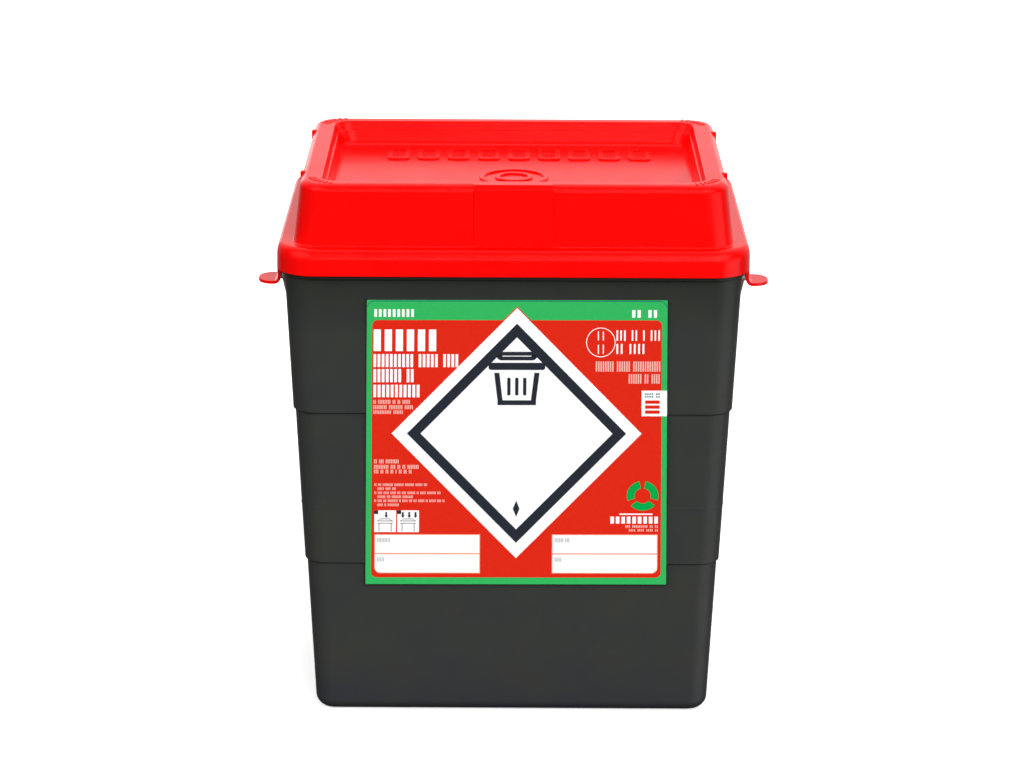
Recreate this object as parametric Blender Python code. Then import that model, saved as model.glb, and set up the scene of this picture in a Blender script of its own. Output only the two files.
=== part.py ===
"""Sharps container with a stepped plastic tub, a domed press-on lid and a folding carry handle.

Metres, +Z up.  The origin is the centre of the tub's underside, and the labelled front faces -Y.
"""
from math import asin, cos, pi, radians, sin, sqrt

import bmesh
import bpy
from mathutils import Matrix, Vector

# ---------------------------------------------------------------- driving dimensions
CLEARANCE = 0.0003            # air between two pieces that touch on the real object
CORNER_STEPS = 6              # facets in each rounded corner of the tub and lid
FILLET_STEPS = 3              # facets in each rounded edge
WIDTH_OVER_DEPTH = 0.0325     # how much half the width exceeds half the depth, on tub and skirt

BASE_HALF_WIDTH = 0.11376     # tub wall, carried down to the floor it stands on
DRAFT = 0.0465                # how far the wall leans out for each metre of height
STEP_HEIGHTS = (0.0928, 0.184)
STEP_OUT = 0.0011             # each higher tier stands this much further out
STEP_RISE = 0.0012
TUB_WALL = 0.0022
TUB_FLOOR = 0.0026
TUB_HEIGHT = 0.2788
TUB_CORNER_LOW = 0.0115
TUB_CORNER_HIGH = 0.015
SMALLEST_CORNER = 0.003
HEEL_RADIUS = 0.007           # rounded edge between the wall and the underside
FLOOR_FILLET = 0.005
FOOT_WIDTH = 0.012            # flat band that the tub stands on
UNDERSIDE_RECESS = 0.0012
GATE_PAD = (0.028, 0.020)     # flat pad in the middle of the underside, half sizes
COLLAR_BOTTOM = 0.2633
COLLAR_HALF_WIDTH = 0.1302
RIM_CHAMFER = 0.0008

LABEL_OFFSET = 0.0022         # the label sits this far right of the middle
LABEL_HEAD_HALF_WIDTH = 0.0837
LABEL_FOOT_HALF_WIDTH = 0.0863
LABEL_BOTTOM = 0.0806
LABEL_TOP = 0.252
LABEL_THICKNESS = 0.0004
LAND_PROUD = 0.0003           # least height of the flat label panel above the stepped wall
LAND_DEPTH = 0.002

LID_WALL = 0.002
SKIRT_HALF_WIDTH = 0.1325
SKIRT_CORNER = 0.022
SKIRT_BOTTOM = 0.2657
LEDGE_TOP = 0.281
LEDGE_THICKNESS = 0.0019
SKIRT_ROUNDING = 0.0055
DOME_BASE = (0.1230, 0.0932)  # half width and half depth of the dome where it leaves the ledge
DOME_SHOULDER = (0.1196, 0.0910)
DOME_CORNER = 0.019
DOME_ROUNDING = 0.0045
DOME_FOOT_FILLET = 0.002
LID_TOP = 0.3164
RECESS_MOUTH = (0.1071, 0.0798)
RECESS_FLOOR = (0.1036, 0.0763)
RECESS_CORNER = 0.009
RECESS_DEPTH = 0.014
RECESS_FILLET = 0.004
RECESS_LIP = 0.0015
SEAL_LIP_OUTER = 0.1246       # half width of the lip that hangs inside the tub's mouth
SEAL_LIP_WALL = 0.0015
SEAL_LIP_BOTTOM = 0.2752

NIB_OFFSET = 0.055            # the stacking nibs stand this far in front of and behind the middle
NIB_LENGTH = 0.0026
NIB_PROUD = 0.0012
NIB_HEIGHT = 0.0045
FRONT_PAD_HALF_WIDTH = 0.022
FRONT_PAD_PROUD = 0.0006
FRONT_PAD_TOP_INSET = 0.0015

TAB_CENTRE = 0.066            # the locating tabs hang this far in front of the middle
TAB_HALF_LENGTH = 0.0115
TAB_REACH = 0.0114            # from the skirt's outer face to the tip of the tongue
TAB_THICKNESS = 0.0018
TAB_BOTTOM = 0.2556
TAB_FILLET = 0.003

LATCH_HALF_ANGLE = radians(32)
LATCH_THICKNESS = 0.0015
LATCH_BOTTOM = 0.2643
LATCH_BARB = 0.0009
LATCH_BARB_HEIGHT = 0.0024
LATCH_BARB_HALF_ANGLE = radians(22)
CATCH_RIB_TOP = 0.2640
CATCH_RIB_HEIGHT = 0.0022
CATCH_RIB_PROUD = 0.0011

PIVOT_HEIGHT = 0.248
BOSS_RADIUS = 0.0085
BOSS_END = 0.1327
PIN_RADIUS = 0.004
PIN_CLEARANCE = 0.0004
PIN_HEAD_RADIUS = 0.0062
PIN_HEAD_THICKNESS = 0.0014
HANDLE_INNER = 0.1330         # inner face of each handle leg
HANDLE_THICKNESS = 0.0032
HANDLE_EYE_RADIUS = 0.009
HANDLE_LEG_HALF_WIDTH = 0.005
HANDLE_REACH = 0.1145         # from the pivot to the near side of the grip
GRIP_DEPTH = 0.0075
GRIP_HALF_WIDTH = 0.008
GRIP_HALF_LENGTH = 0.048
HANDLE_REST_ANGLE = radians(-30)   # the stowed legs slope down behind the tub
ROUND_STEPS = 24
SHARP_EDGE = radians(35)      # edges that turn more than this aren't shaded as one smooth surface

TUB_ROUGHNESS = 0.5
LID_ROUGHNESS = 0.3
HANDLE_ROUGHNESS = 0.4
LABEL_ROUGHNESS = 0.35

COLOURS = {
    "red_polypropylene": (0.83, 0.004, 0.006),
    "charcoal_polypropylene": (0.030, 0.032, 0.029),
    "natural_polypropylene": (0.78, 0.79, 0.76),
    "printed_label": (0.78, 0.05, 0.03),
}


# ---------------------------------------------------------------- general tools
def clear_scene():
    for obj in list(bpy.data.objects):
        bpy.data.objects.remove(obj, do_unlink=True)


def plastic(name, roughness):
    material = bpy.data.materials.new(name)
    material.use_nodes = True
    shader = material.node_tree.nodes["Principled BSDF"]
    shader.inputs["Base Color"].default_value = (*COLOURS[name], 1.0)
    shader.inputs["Roughness"].default_value = roughness
    shader.inputs["Metallic"].default_value = 0.0
    return material


def object_from(bm, name, material=None):
    """Turn a bmesh into an object with outward faces and smooth shading between soft edges."""
    bmesh.ops.recalc_face_normals(bm, faces=bm.faces)
    mesh = bpy.data.meshes.new(name)
    bm.to_mesh(mesh)
    bm.free()
    obj = bpy.data.objects.new(name, mesh)
    bpy.context.collection.objects.link(obj)
    if material is not None:
        mesh.materials.append(material)
    mesh.shade_smooth()
    mesh.set_sharp_from_angle(angle=SHARP_EDGE)
    return obj


def combine(target, tool, operation):
    """Join the tool to the target, or cut it out of it, and leave the tool out of the model."""
    modifier = target.modifiers.new(tool.name, "BOOLEAN")
    modifier.operation = operation
    modifier.solver = "EXACT"
    modifier.object = tool
    tool.hide_render = True
    tool.display_type = "WIRE"


def ring(bm, half_x, half_y, radius, z):
    """One rounded rectangle of points, anticlockwise seen from above."""
    points = []
    for corner, (sx, sy) in enumerate(((1, 1), (-1, 1), (-1, -1), (1, -1))):
        for step in range(CORNER_STEPS + 1):
            angle = (corner + step / CORNER_STEPS) * pi / 2
            x = sx * (half_x - radius) + radius * cos(angle)
            y = sy * (half_y - radius) + radius * sin(angle)
            points.append(bm.verts.new((x, y, z)))
    return points


def loft(sections):
    """A closed body through rounded-rectangle sections, with a flat face over the first and last."""
    bm = bmesh.new()
    rings = [ring(bm, *section) for section in sections]
    count = len(rings[0])
    for lower, upper in zip(rings, rings[1:]):
        for index in range(count):
            following = (index + 1) % count
            bm.faces.new((lower[index], lower[following], upper[following], upper[index]))
    bm.faces.new(rings[0])
    bm.faces.new(rings[-1])
    return bm


def prism(outline, height, placement):
    """A flat outline, a list of (x, y), extruded along its normal and then placed."""
    bm = bmesh.new()
    bottom = [bm.verts.new((x, y, 0.0)) for x, y in outline]
    face = bm.faces.new(bottom)
    extruded = bmesh.ops.extrude_face_region(bm, geom=[face])
    raised = [item for item in extruded["geom"] if isinstance(item, bmesh.types.BMVert)]
    bmesh.ops.translate(bm, vec=(0, 0, height), verts=raised)
    bmesh.ops.transform(bm, matrix=placement, verts=bm.verts)
    return bm


def arc(centre_x, centre_y, radius, start, end, steps):
    """Points along a circular arc, both ends included."""
    angles = [start + (end - start) * step / steps for step in range(steps + 1)]
    return [(centre_x + radius * cos(angle), centre_y + radius * sin(angle)) for angle in angles]


def cylinder_along_x(radius, x_from, x_to, y, z):
    bm = bmesh.new()
    middle = Vector(((x_from + x_to) / 2, y, z))
    placement = Matrix.Translation(middle) @ Matrix.Rotation(pi / 2, 4, "Y")
    bmesh.ops.create_cone(bm, cap_ends=True, segments=ROUND_STEPS, radius1=radius, radius2=radius,
                          depth=abs(x_to - x_from), matrix=placement)
    return bm


def set_origin(obj, point):
    """Move the object's origin to a point and leave its shape where it is."""
    obj.data.transform(Matrix.Translation(-Vector(point)))
    obj.location = point


# ---------------------------------------------------------------- tub
def tub_half_width(z):
    """Half width of the tub's outer wall at a height, with one step out for each tier passed."""
    steps_passed = sum(min(max((z - height) / STEP_RISE + 0.5, 0.0), 1.0) for height in STEP_HEIGHTS)
    return BASE_HALF_WIDTH + DRAFT * z + STEP_OUT * steps_passed


def tub_section(z, inset=0.0, at=None):
    """The tub's outline at height z, drawn in by inset; at gives another height to place it."""
    half_width = tub_half_width(z) - inset
    corner = TUB_CORNER_LOW + (TUB_CORNER_HIGH - TUB_CORNER_LOW) * z / TUB_HEIGHT
    radius = max(corner - inset, SMALLEST_CORNER)
    return half_width, half_width - WIDTH_OVER_DEPTH, radius, z if at is None else at


def collar_section(z, inset=0.0):
    """The upright collar round the tub's mouth, whose corners match the inside of the lid's skirt."""
    half_width = COLLAR_HALF_WIDTH - inset
    corner = SKIRT_CORNER - (SKIRT_HALF_WIDTH - half_width)
    return half_width, half_width - WIDTH_OVER_DEPTH, corner, z


def wall_heights(bottom, top):
    """Heights that the wall needs a section at: its ends and both edges of each step."""
    edges = [height + side * STEP_RISE / 2 for height in STEP_HEIGHTS for side in (-1, 1)]
    return [bottom, *edges, top]


def tub_sections():
    pad_x, pad_y = GATE_PAD
    pad_corner = pad_y / 2
    sections = [
        (pad_x, pad_y, pad_corner, 0.0),
        (pad_x + UNDERSIDE_RECESS, pad_y + UNDERSIDE_RECESS, pad_corner, UNDERSIDE_RECESS),
        tub_section(0.0, HEEL_RADIUS + FOOT_WIDTH + UNDERSIDE_RECESS, UNDERSIDE_RECESS),
        tub_section(0.0, HEEL_RADIUS + FOOT_WIDTH, 0.0),
    ]
    for step in range(FILLET_STEPS + 1):
        angle = step / FILLET_STEPS * pi / 2
        sections.append(tub_section(HEEL_RADIUS * (1 - cos(angle)), HEEL_RADIUS * (1 - sin(angle))))
    sections += [tub_section(z) for z in wall_heights(HEEL_RADIUS, COLLAR_BOTTOM)[1:]]

    sections += [
        collar_section(COLLAR_BOTTOM),
        collar_section(TUB_HEIGHT - RIM_CHAMFER),
        collar_section(TUB_HEIGHT, RIM_CHAMFER),
        tub_section(TUB_HEIGHT, TUB_WALL + RIM_CHAMFER),
    ]
    inner_floor = TUB_FLOOR + UNDERSIDE_RECESS
    fillet_top = inner_floor + FLOOR_FILLET
    sections += [tub_section(z, TUB_WALL) for z in reversed(wall_heights(fillet_top, COLLAR_BOTTOM))]
    for step in range(1, FILLET_STEPS + 1):
        angle = step / FILLET_STEPS * pi / 2
        z = fillet_top - FLOOR_FILLET * sin(angle)
        sections.append(tub_section(z, TUB_WALL + FLOOR_FILLET * (1 - cos(angle))))
    return sections


def land_slope():
    """The label panel leans with the two step edges that it bridges."""
    low, high = STEP_HEIGHTS
    rise = tub_half_width(high + STEP_RISE) - tub_half_width(low + STEP_RISE)
    return rise / (high - low)


def land_front(z, proud=LAND_PROUD):
    """Distance in front of the middle of the flat label panel at a height."""
    low = STEP_HEIGHTS[0] + STEP_RISE
    edge = tub_half_width(low) - WIDTH_OVER_DEPTH
    return edge + land_slope() * (z - low) + proud


def sloped_panel(proud, thickness):
    """A flat panel on the front wall, its outer face that much proud of the bridged step edges."""
    bm = bmesh.new()
    corners = []
    for z, half_width in ((LABEL_BOTTOM, LABEL_FOOT_HALF_WIDTH), (LABEL_TOP, LABEL_HEAD_HALF_WIDTH)):
        for side in (-1, 1):
            for depth in (0.0, thickness):
                place = (LABEL_OFFSET + side * half_width, -land_front(z, proud - depth), z)
                corners.append(bm.verts.new(place))
    front = (0, 2, 6, 4)
    back = (1, 3, 7, 5)
    left = (0, 1, 5, 4)
    right = (2, 3, 7, 6)
    foot = (0, 1, 3, 2)
    head = (4, 5, 7, 6)
    for face in (front, back, left, right, foot, head):
        bm.faces.new([corners[index] for index in face])
    return bm


def inner_corner_centre(z, outer_inset):
    """Centre and radius of the tub's rounded corner at a height, drawn in by an inset."""
    half_x, half_y, radius, _ = tub_section(z, outer_inset)
    return half_x - radius, half_y - radius, radius


def corner_sector(centre, inner, outer, half_angle, bottom, top):
    """An upright curved strip across the corner at +X +Y."""
    start = pi / 4 - half_angle
    end = pi / 4 + half_angle
    outline = arc(*centre, outer, start, end, CORNER_STEPS)
    outline += arc(*centre, inner, end, start, CORNER_STEPS)
    return prism(outline, top - bottom, Matrix.Translation((0, 0, bottom)))


def mirror_to(bm, sx, sy):
    bmesh.ops.transform(bm, matrix=Matrix.Diagonal((sx, sy, 1, 1)), verts=bm.verts)
    return bm


def corner_signs():
    return {"front_left": (-1, -1), "front_right": (1, -1), "rear_left": (-1, 1), "rear_right": (1, 1)}


def make_tub():
    tub = object_from(loft(tub_sections()), "tub", plastic("charcoal_polypropylene", TUB_ROUGHNESS))
    combine(tub, object_from(sloped_panel(LAND_PROUD, LAND_DEPTH), "label_land"), "UNION")

    centre_x, centre_y, radius = inner_corner_centre(CATCH_RIB_TOP, TUB_WALL)
    for name, (sx, sy) in corner_signs().items():
        rib = corner_sector((centre_x, centre_y), radius - CATCH_RIB_PROUD, radius + TUB_WALL / 2,
                            LATCH_HALF_ANGLE, CATCH_RIB_TOP - CATCH_RIB_HEIGHT, CATCH_RIB_TOP)
        combine(tub, object_from(mirror_to(rib, sx, sy), "catch_rib_" + name), "UNION")

    wall = tub_half_width(PIVOT_HEIGHT) - TUB_WALL / 2
    pin_end = HANDLE_INNER + HANDLE_THICKNESS + CLEARANCE + PIN_HEAD_THICKNESS
    head_start = pin_end - PIN_HEAD_THICKNESS
    for side, sx in (("left", -1), ("right", 1)):
        boss = cylinder_along_x(BOSS_RADIUS, sx * wall, sx * BOSS_END, 0, PIVOT_HEIGHT)
        combine(tub, object_from(boss, "pivot_boss_" + side), "UNION")
        pin = cylinder_along_x(PIN_RADIUS, sx * wall, sx * (pin_end - CLEARANCE), 0, PIVOT_HEIGHT)
        combine(tub, object_from(pin, "pivot_pin_" + side), "UNION")
        head = cylinder_along_x(PIN_HEAD_RADIUS, sx * head_start, sx * pin_end, 0, PIVOT_HEIGHT)
        combine(tub, object_from(head, "pivot_head_" + side), "UNION")
    return tub


def make_label():
    panel = sloped_panel(LAND_PROUD + CLEARANCE + LABEL_THICKNESS, LABEL_THICKNESS)
    return object_from(panel, "front_label", plastic("printed_label", LABEL_ROUGHNESS))


# ---------------------------------------------------------------- lid
def rounded_edge(outer, corner, top, radius):
    """Sections round a convex edge, from the flat top down to the side."""
    half_x, half_y = outer
    sections = []
    for step in range(FILLET_STEPS + 1):
        angle = step / FILLET_STEPS * pi / 2
        inset = radius * (1 - sin(angle))
        sections.append((half_x - inset, half_y - inset, corner - inset, top - radius * (1 - cos(angle))))
    return sections


def lid_sections():
    floor_top = LID_TOP - RECESS_DEPTH
    mouth_x, mouth_y = RECESS_MOUTH
    floor_x, floor_y = RECESS_FLOOR
    skirt = (SKIRT_HALF_WIDTH, SKIRT_HALF_WIDTH - WIDTH_OVER_DEPTH)
    base_x, base_y = DOME_BASE

    sections = []
    for step in range(FILLET_STEPS + 1):
        angle = step / FILLET_STEPS * pi / 2
        inset = RECESS_FILLET * (1 - sin(angle))
        height = floor_top + RECESS_FILLET * (1 - cos(angle))
        sections.append((floor_x - inset, floor_y - inset, RECESS_CORNER - inset, height))
    sections += [
        (mouth_x, mouth_y, RECESS_CORNER, LID_TOP - RECESS_LIP),
        (mouth_x + RECESS_LIP, mouth_y + RECESS_LIP, RECESS_CORNER + RECESS_LIP, LID_TOP),
    ]
    sections += rounded_edge(DOME_SHOULDER, DOME_CORNER, LID_TOP, DOME_ROUNDING)
    sections += [
        (base_x, base_y, DOME_CORNER, LEDGE_TOP + DOME_FOOT_FILLET),
        (base_x + DOME_FOOT_FILLET, base_y + DOME_FOOT_FILLET, DOME_CORNER, LEDGE_TOP),
    ]
    sections += rounded_edge(skirt, SKIRT_CORNER, LEDGE_TOP, SKIRT_ROUNDING)[1:]

    inner_x = COLLAR_HALF_WIDTH + CLEARANCE
    inner_y = inner_x - WIDTH_OVER_DEPTH
    inner_corner = SKIRT_CORNER - (SKIRT_HALF_WIDTH - inner_x)
    under_ledge = LEDGE_TOP - LEDGE_THICKNESS
    lip_x = SEAL_LIP_OUTER
    lip_y = lip_x - WIDTH_OVER_DEPTH
    lip_corner = inner_corner_centre(SEAL_LIP_BOTTOM, tub_half_width(SEAL_LIP_BOTTOM) - SEAL_LIP_OUTER)[2]
    inside_x = lip_x - SEAL_LIP_WALL
    inside_y = lip_y - SEAL_LIP_WALL
    sections += [
        (*skirt, SKIRT_CORNER, SKIRT_BOTTOM),
        (inner_x, inner_y, inner_corner, SKIRT_BOTTOM),
        (inner_x, inner_y, inner_corner, under_ledge - RIM_CHAMFER),
        (inner_x - RIM_CHAMFER, inner_y - RIM_CHAMFER, inner_corner - RIM_CHAMFER, under_ledge),
        (lip_x, lip_y, lip_corner, under_ledge),
        (lip_x, lip_y, lip_corner, SEAL_LIP_BOTTOM),
        (inside_x, inside_y, lip_corner - SEAL_LIP_WALL, SEAL_LIP_BOTTOM),
        (inside_x, inside_y, lip_corner - SEAL_LIP_WALL, under_ledge - SEAL_LIP_WALL),
    ]
    shoulder_x, shoulder_y = DOME_SHOULDER
    inner_dome_corner = DOME_CORNER - LID_WALL
    under_ridge = LID_TOP - LID_WALL
    under_rounding = under_ridge - DOME_ROUNDING / 2
    ridge_inset = LID_WALL + DOME_ROUNDING / 2
    recess_outset = LID_WALL + RECESS_LIP
    recess_corner = RECESS_CORNER + LID_WALL
    bend_inset = RECESS_FILLET / 2
    sections += [
        (base_x - LID_WALL, base_y - LID_WALL, inner_dome_corner, LEDGE_TOP),
        (shoulder_x - LID_WALL, shoulder_y - LID_WALL, inner_dome_corner, under_rounding),
        (shoulder_x - ridge_inset, shoulder_y - ridge_inset, inner_dome_corner, under_ridge),
        (mouth_x + recess_outset, mouth_y + recess_outset, recess_corner, under_ridge),
        (floor_x + LID_WALL, floor_y + LID_WALL, recess_corner, floor_top + RECESS_FILLET - LID_WALL),
        (floor_x - bend_inset, floor_y - bend_inset, RECESS_CORNER, floor_top - LID_WALL),
    ]
    return sections


def stacking_nib(sx, sy):
    """A small square-edged block on the rounded outer edge of the lid's raised rim."""
    shoulder = DOME_SHOULDER[0]
    inner = shoulder - DOME_ROUNDING
    outline = [
        (inner, LID_TOP - 2 * NIB_HEIGHT),
        (shoulder, LID_TOP - 2 * NIB_HEIGHT),
        (shoulder + NIB_PROUD, LID_TOP - NIB_HEIGHT),
        (shoulder + NIB_PROUD, LID_TOP - NIB_PROUD),
        (shoulder, LID_TOP - CLEARANCE),
        (inner, LID_TOP - CLEARANCE),
    ]
    start = NIB_OFFSET - NIB_LENGTH / 2
    # the outline is drawn in (x, z) and extruded along y
    placement = Matrix(((1, 0, 0, 0), (0, 0, 1, start), (0, 1, 0, 0), (0, 0, 0, 1)))
    return mirror_to(prism(outline, NIB_LENGTH, placement), sx, sy)


def front_pad():
    """A shallow pad down the middle of the lid's front face, square at its top edge."""
    shoulder = DOME_SHOULDER[1]
    base = DOME_BASE[1]
    outline = [
        (-base - FRONT_PAD_PROUD, LEDGE_TOP + DOME_FOOT_FILLET),
        (-shoulder - FRONT_PAD_PROUD, LID_TOP - DOME_ROUNDING),
        (-shoulder + FRONT_PAD_TOP_INSET, LID_TOP - CLEARANCE),
        (-shoulder + DOME_ROUNDING, LID_TOP - CLEARANCE),
        (-base + LID_WALL / 2, LEDGE_TOP + DOME_FOOT_FILLET),
    ]
    placement = Matrix(((0, 0, 1, -FRONT_PAD_HALF_WIDTH), (1, 0, 0, 0), (0, 1, 0, 0), (0, 0, 0, 1)))
    return prism(outline, 2 * FRONT_PAD_HALF_WIDTH, placement)


def make_lid(material):
    lid = object_from(loft(lid_sections()), "lid", material)
    for name, (sx, sy) in corner_signs().items():
        combine(lid, object_from(stacking_nib(sx, sy), "stacking_nib_" + name), "UNION")
    combine(lid, object_from(front_pad(), "front_pad"), "UNION")
    return lid


def make_locating_tab(side, sx, material):
    """A tab that hangs from the skirt on a thin hinge and turns out into a rounded finger tongue."""
    inner = COLLAR_HALF_WIDTH + CLEARANCE
    outer = SKIRT_HALF_WIDTH
    top = SKIRT_BOTTOM - CLEARANCE
    tongue_top = TAB_BOTTOM + TAB_THICKNESS
    bend = arc(outer + TAB_FILLET, tongue_top + TAB_FILLET, TAB_FILLET, 1.5 * pi, pi, FILLET_STEPS)
    outline = [
        (inner, top),
        (inner, TAB_BOTTOM + TAB_FILLET),
        (inner + TAB_FILLET, TAB_BOTTOM),
        (outer + TAB_REACH, TAB_BOTTOM),
        (outer + TAB_REACH, tongue_top),
        *bend,
        (outer, top),
    ]
    start = -TAB_CENTRE - TAB_HALF_LENGTH
    placement = Matrix(((1, 0, 0, 0), (0, 0, 1, start), (0, 1, 0, 0), (0, 0, 0, 1)))
    web = prism(outline, 2 * TAB_HALF_LENGTH, placement)
    tab = object_from(mirror_to(web, sx, 1), "locating_tab_" + side, material)

    # the tongue's free end is rounded in plan
    reach = TAB_REACH - TAB_FILLET
    tip = [(outer + TAB_FILLET + reach * cos(angle), -TAB_CENTRE + TAB_HALF_LENGTH * sin(angle))
           for angle in [(step / ROUND_STEPS - 0.5) * pi for step in range(ROUND_STEPS + 1)]]
    root_x = inner - TAB_FILLET
    root = [(root_x, -TAB_CENTRE + TAB_HALF_LENGTH), (root_x, -TAB_CENTRE - TAB_HALF_LENGTH)]
    plan = prism(tip + root, top - TAB_BOTTOM + 2 * TAB_FILLET,
                 Matrix.Translation((0, 0, TAB_BOTTOM - TAB_FILLET)))
    combine(tab, object_from(mirror_to(plan, sx, 1), "tongue_plan_" + side), "INTERSECT")
    set_origin(tab, (sx * outer, -TAB_CENTRE, top))
    return tab


def make_corner_latch(name, sx, sy, material):
    """A curved snap finger under a corner of the lid, with a barb that waits above the tub's rib."""
    seal_inset = tub_half_width(SEAL_LIP_BOTTOM) - SEAL_LIP_OUTER
    centre_x, centre_y, radius = inner_corner_centre(SEAL_LIP_BOTTOM, seal_inset)
    top = SEAL_LIP_BOTTOM - CLEARANCE
    finger = corner_sector((centre_x, centre_y), radius - LATCH_THICKNESS, radius,
                           LATCH_HALF_ANGLE, LATCH_BOTTOM, top)
    latch = object_from(mirror_to(finger, sx, sy), "corner_latch_" + name, material)
    barb = corner_sector((centre_x, centre_y), radius - LATCH_THICKNESS / 2, radius + LATCH_BARB,
                         LATCH_BARB_HALF_ANGLE, LATCH_BOTTOM, LATCH_BOTTOM + LATCH_BARB_HEIGHT)
    combine(latch, object_from(mirror_to(barb, sx, sy), "latch_barb_" + name), "UNION")
    reach = (radius - LATCH_THICKNESS / 2) / sqrt(2)
    set_origin(latch, (sx * (centre_x + reach), sy * (centre_y + reach), top))
    return latch


# ---------------------------------------------------------------- carry handle
def handle_leg(sx):
    """One flat leg, drawn along +Y from the pivot at the origin, with a round eye at the pivot."""
    opening = asin(HANDLE_LEG_HALF_WIDTH / HANDLE_EYE_RADIUS)
    outline = arc(0, 0, HANDLE_EYE_RADIUS, opening, 2 * pi - opening, ROUND_STEPS)
    outline += [
        (HANDLE_REACH + GRIP_DEPTH, -HANDLE_LEG_HALF_WIDTH),
        (HANDLE_REACH + GRIP_DEPTH, HANDLE_LEG_HALF_WIDTH),
    ]
    start = HANDLE_INNER if sx > 0 else -HANDLE_INNER - HANDLE_THICKNESS
    placement = Matrix(((0, 0, 1, start), (1, 0, 0, 0), (0, 1, 0, 0), (0, 0, 0, 1)))
    return prism(outline, HANDLE_THICKNESS, placement)


def box(low, high):
    bm = bmesh.new()
    size = Vector(high) - Vector(low)
    middle = (Vector(high) + Vector(low)) / 2
    bmesh.ops.create_cube(bm, size=1.0, matrix=Matrix.Translation(middle) @ Matrix.Diagonal((*size, 1)))
    return bm


def make_handle():
    material = plastic("natural_polypropylene", HANDLE_ROUGHNESS)
    handle = object_from(handle_leg(-1), "carry_handle", material)
    far = HANDLE_REACH + GRIP_DEPTH
    outer = HANDLE_INNER + HANDLE_THICKNESS
    bar_end = outer - CLEARANCE
    bar_start = HANDLE_REACH + HANDLE_THICKNESS / 2
    bar_half_width = HANDLE_LEG_HALF_WIDTH - CLEARANCE
    crossbar = box((-bar_end, bar_start, -bar_half_width), (bar_end, far - CLEARANCE, bar_half_width))
    grip = box((-GRIP_HALF_LENGTH, HANDLE_REACH, -GRIP_HALF_WIDTH),
               (GRIP_HALF_LENGTH, far + CLEARANCE, GRIP_HALF_WIDTH))
    additions = (("handle_leg_right", handle_leg(1)), ("handle_crossbar", crossbar), ("handle_grip", grip))
    for name, shape in additions:
        combine(handle, object_from(shape, name), "UNION")
    for side, sx in (("left", -1), ("right", 1)):
        bore = cylinder_along_x(PIN_RADIUS + PIN_CLEARANCE, sx * (HANDLE_INNER - CLEARANCE),
                                sx * (outer + CLEARANCE), 0, 0)
        combine(handle, object_from(bore, "handle_bore_" + side), "DIFFERENCE")

    # the whole handle turns about the pins, so its pieces hang on an empty at the pivot axis
    pivot = bpy.data.objects.new("handle_pivot", None)
    bpy.context.collection.objects.link(pivot)
    pivot.location = (0, 0, PIVOT_HEIGHT)
    pivot.rotation_euler = (HANDLE_REST_ANGLE, 0, 0)
    for obj in list(bpy.data.objects):
        if obj.name.startswith("handle_") and obj is not pivot:
            obj.parent = pivot
    handle.parent = pivot
    return handle


# ---------------------------------------------------------------- assembly
def build():
    clear_scene()
    make_tub()
    make_label()
    red = plastic("red_polypropylene", LID_ROUGHNESS)
    make_lid(red)
    for side, sx in (("left", -1), ("right", 1)):
        make_locating_tab(side, sx, red.copy())
    for name, (sx, sy) in corner_signs().items():
        make_corner_latch(name, sx, sy, red.copy())
    make_handle()


build()
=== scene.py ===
"""Looks of the sharps container: red lid, charcoal tub, printed label and natural carry handle.

Metres, +Z up.  The origin is the centre of the tub's underside, and the labelled front faces -Y.
"""

from math import cos, hypot, pi, radians, sin, sqrt

import bmesh
import bpy
from mathutils import Matrix, Vector


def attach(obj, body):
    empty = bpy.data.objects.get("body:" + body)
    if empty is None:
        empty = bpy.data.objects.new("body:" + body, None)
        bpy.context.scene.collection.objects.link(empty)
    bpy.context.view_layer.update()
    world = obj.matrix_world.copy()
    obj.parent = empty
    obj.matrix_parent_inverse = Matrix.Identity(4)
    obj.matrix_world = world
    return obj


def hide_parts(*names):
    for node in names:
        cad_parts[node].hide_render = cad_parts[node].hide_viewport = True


MM = 0.001

# ---------------------------------------------------------------- mesh fineness
CORNER_STEPS = 14             # facets in each rounded corner of the tub and lid
FILLET_STEPS = 6              # facets in each rounded edge
QUARTER_TURN = [step / FILLET_STEPS * pi / 2 for step in range(FILLET_STEPS + 1)]
ROUND_STEPS = 48
AXIS_RADIUS = 0.0001          # radius of the tiny flat cap where a turned shape meets its axis
SHARP_EDGE = radians(38)
EDGE_SEGMENTS = 3
FLAT_FACE_WEIGHT = 60
HAIRLINE = 0.0001             # least gap between two faces that would otherwise share a plane
TOUCH = 1e-6                  # places closer than this are the same
WIDTH_OVER_DEPTH = 0.0325     # how much half the width exceeds half the depth, on tub and skirt

# ---------------------------------------------------------------- tub
BASE_HALF_WIDTH = 0.11376     # tub wall, carried down to the floor it stands on
DRAFT = 0.0465                # how far the wall leans out for each metre of height
STEP_HEIGHTS = (0.0928, 0.184)
STEP_OUT = 0.0011             # each higher tier stands this much further out
STEP_RISE = 0.0012
STEP_ROWS = 5
TUB_WALL = 0.0022
TUB_FLOOR = 0.0026
TUB_HEIGHT = 0.2788
TUB_CORNER_LOW = 0.0115
TUB_CORNER_HIGH = 0.015
SMALLEST_CORNER = 0.003
HEEL_RADIUS = 0.007
FLOOR_FILLET = 0.005
FOOT_WIDTH = 0.012
UNDERSIDE_RECESS = 0.0012
GATE_PAD = (0.028, 0.020)
LEVEL_LINE = 0.127            # fine moulded bead that marks a fill level
LEVEL_LINE_HEIGHT = 0.0014
LEVEL_LINE_PROUD = 0.00018
COLLAR_BOTTOM = 0.2633
COLLAR_HALF_WIDTH = 0.1302
COLLAR_ROUNDING = 0.0009
RIM_CHAMFER = 0.0008

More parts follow.
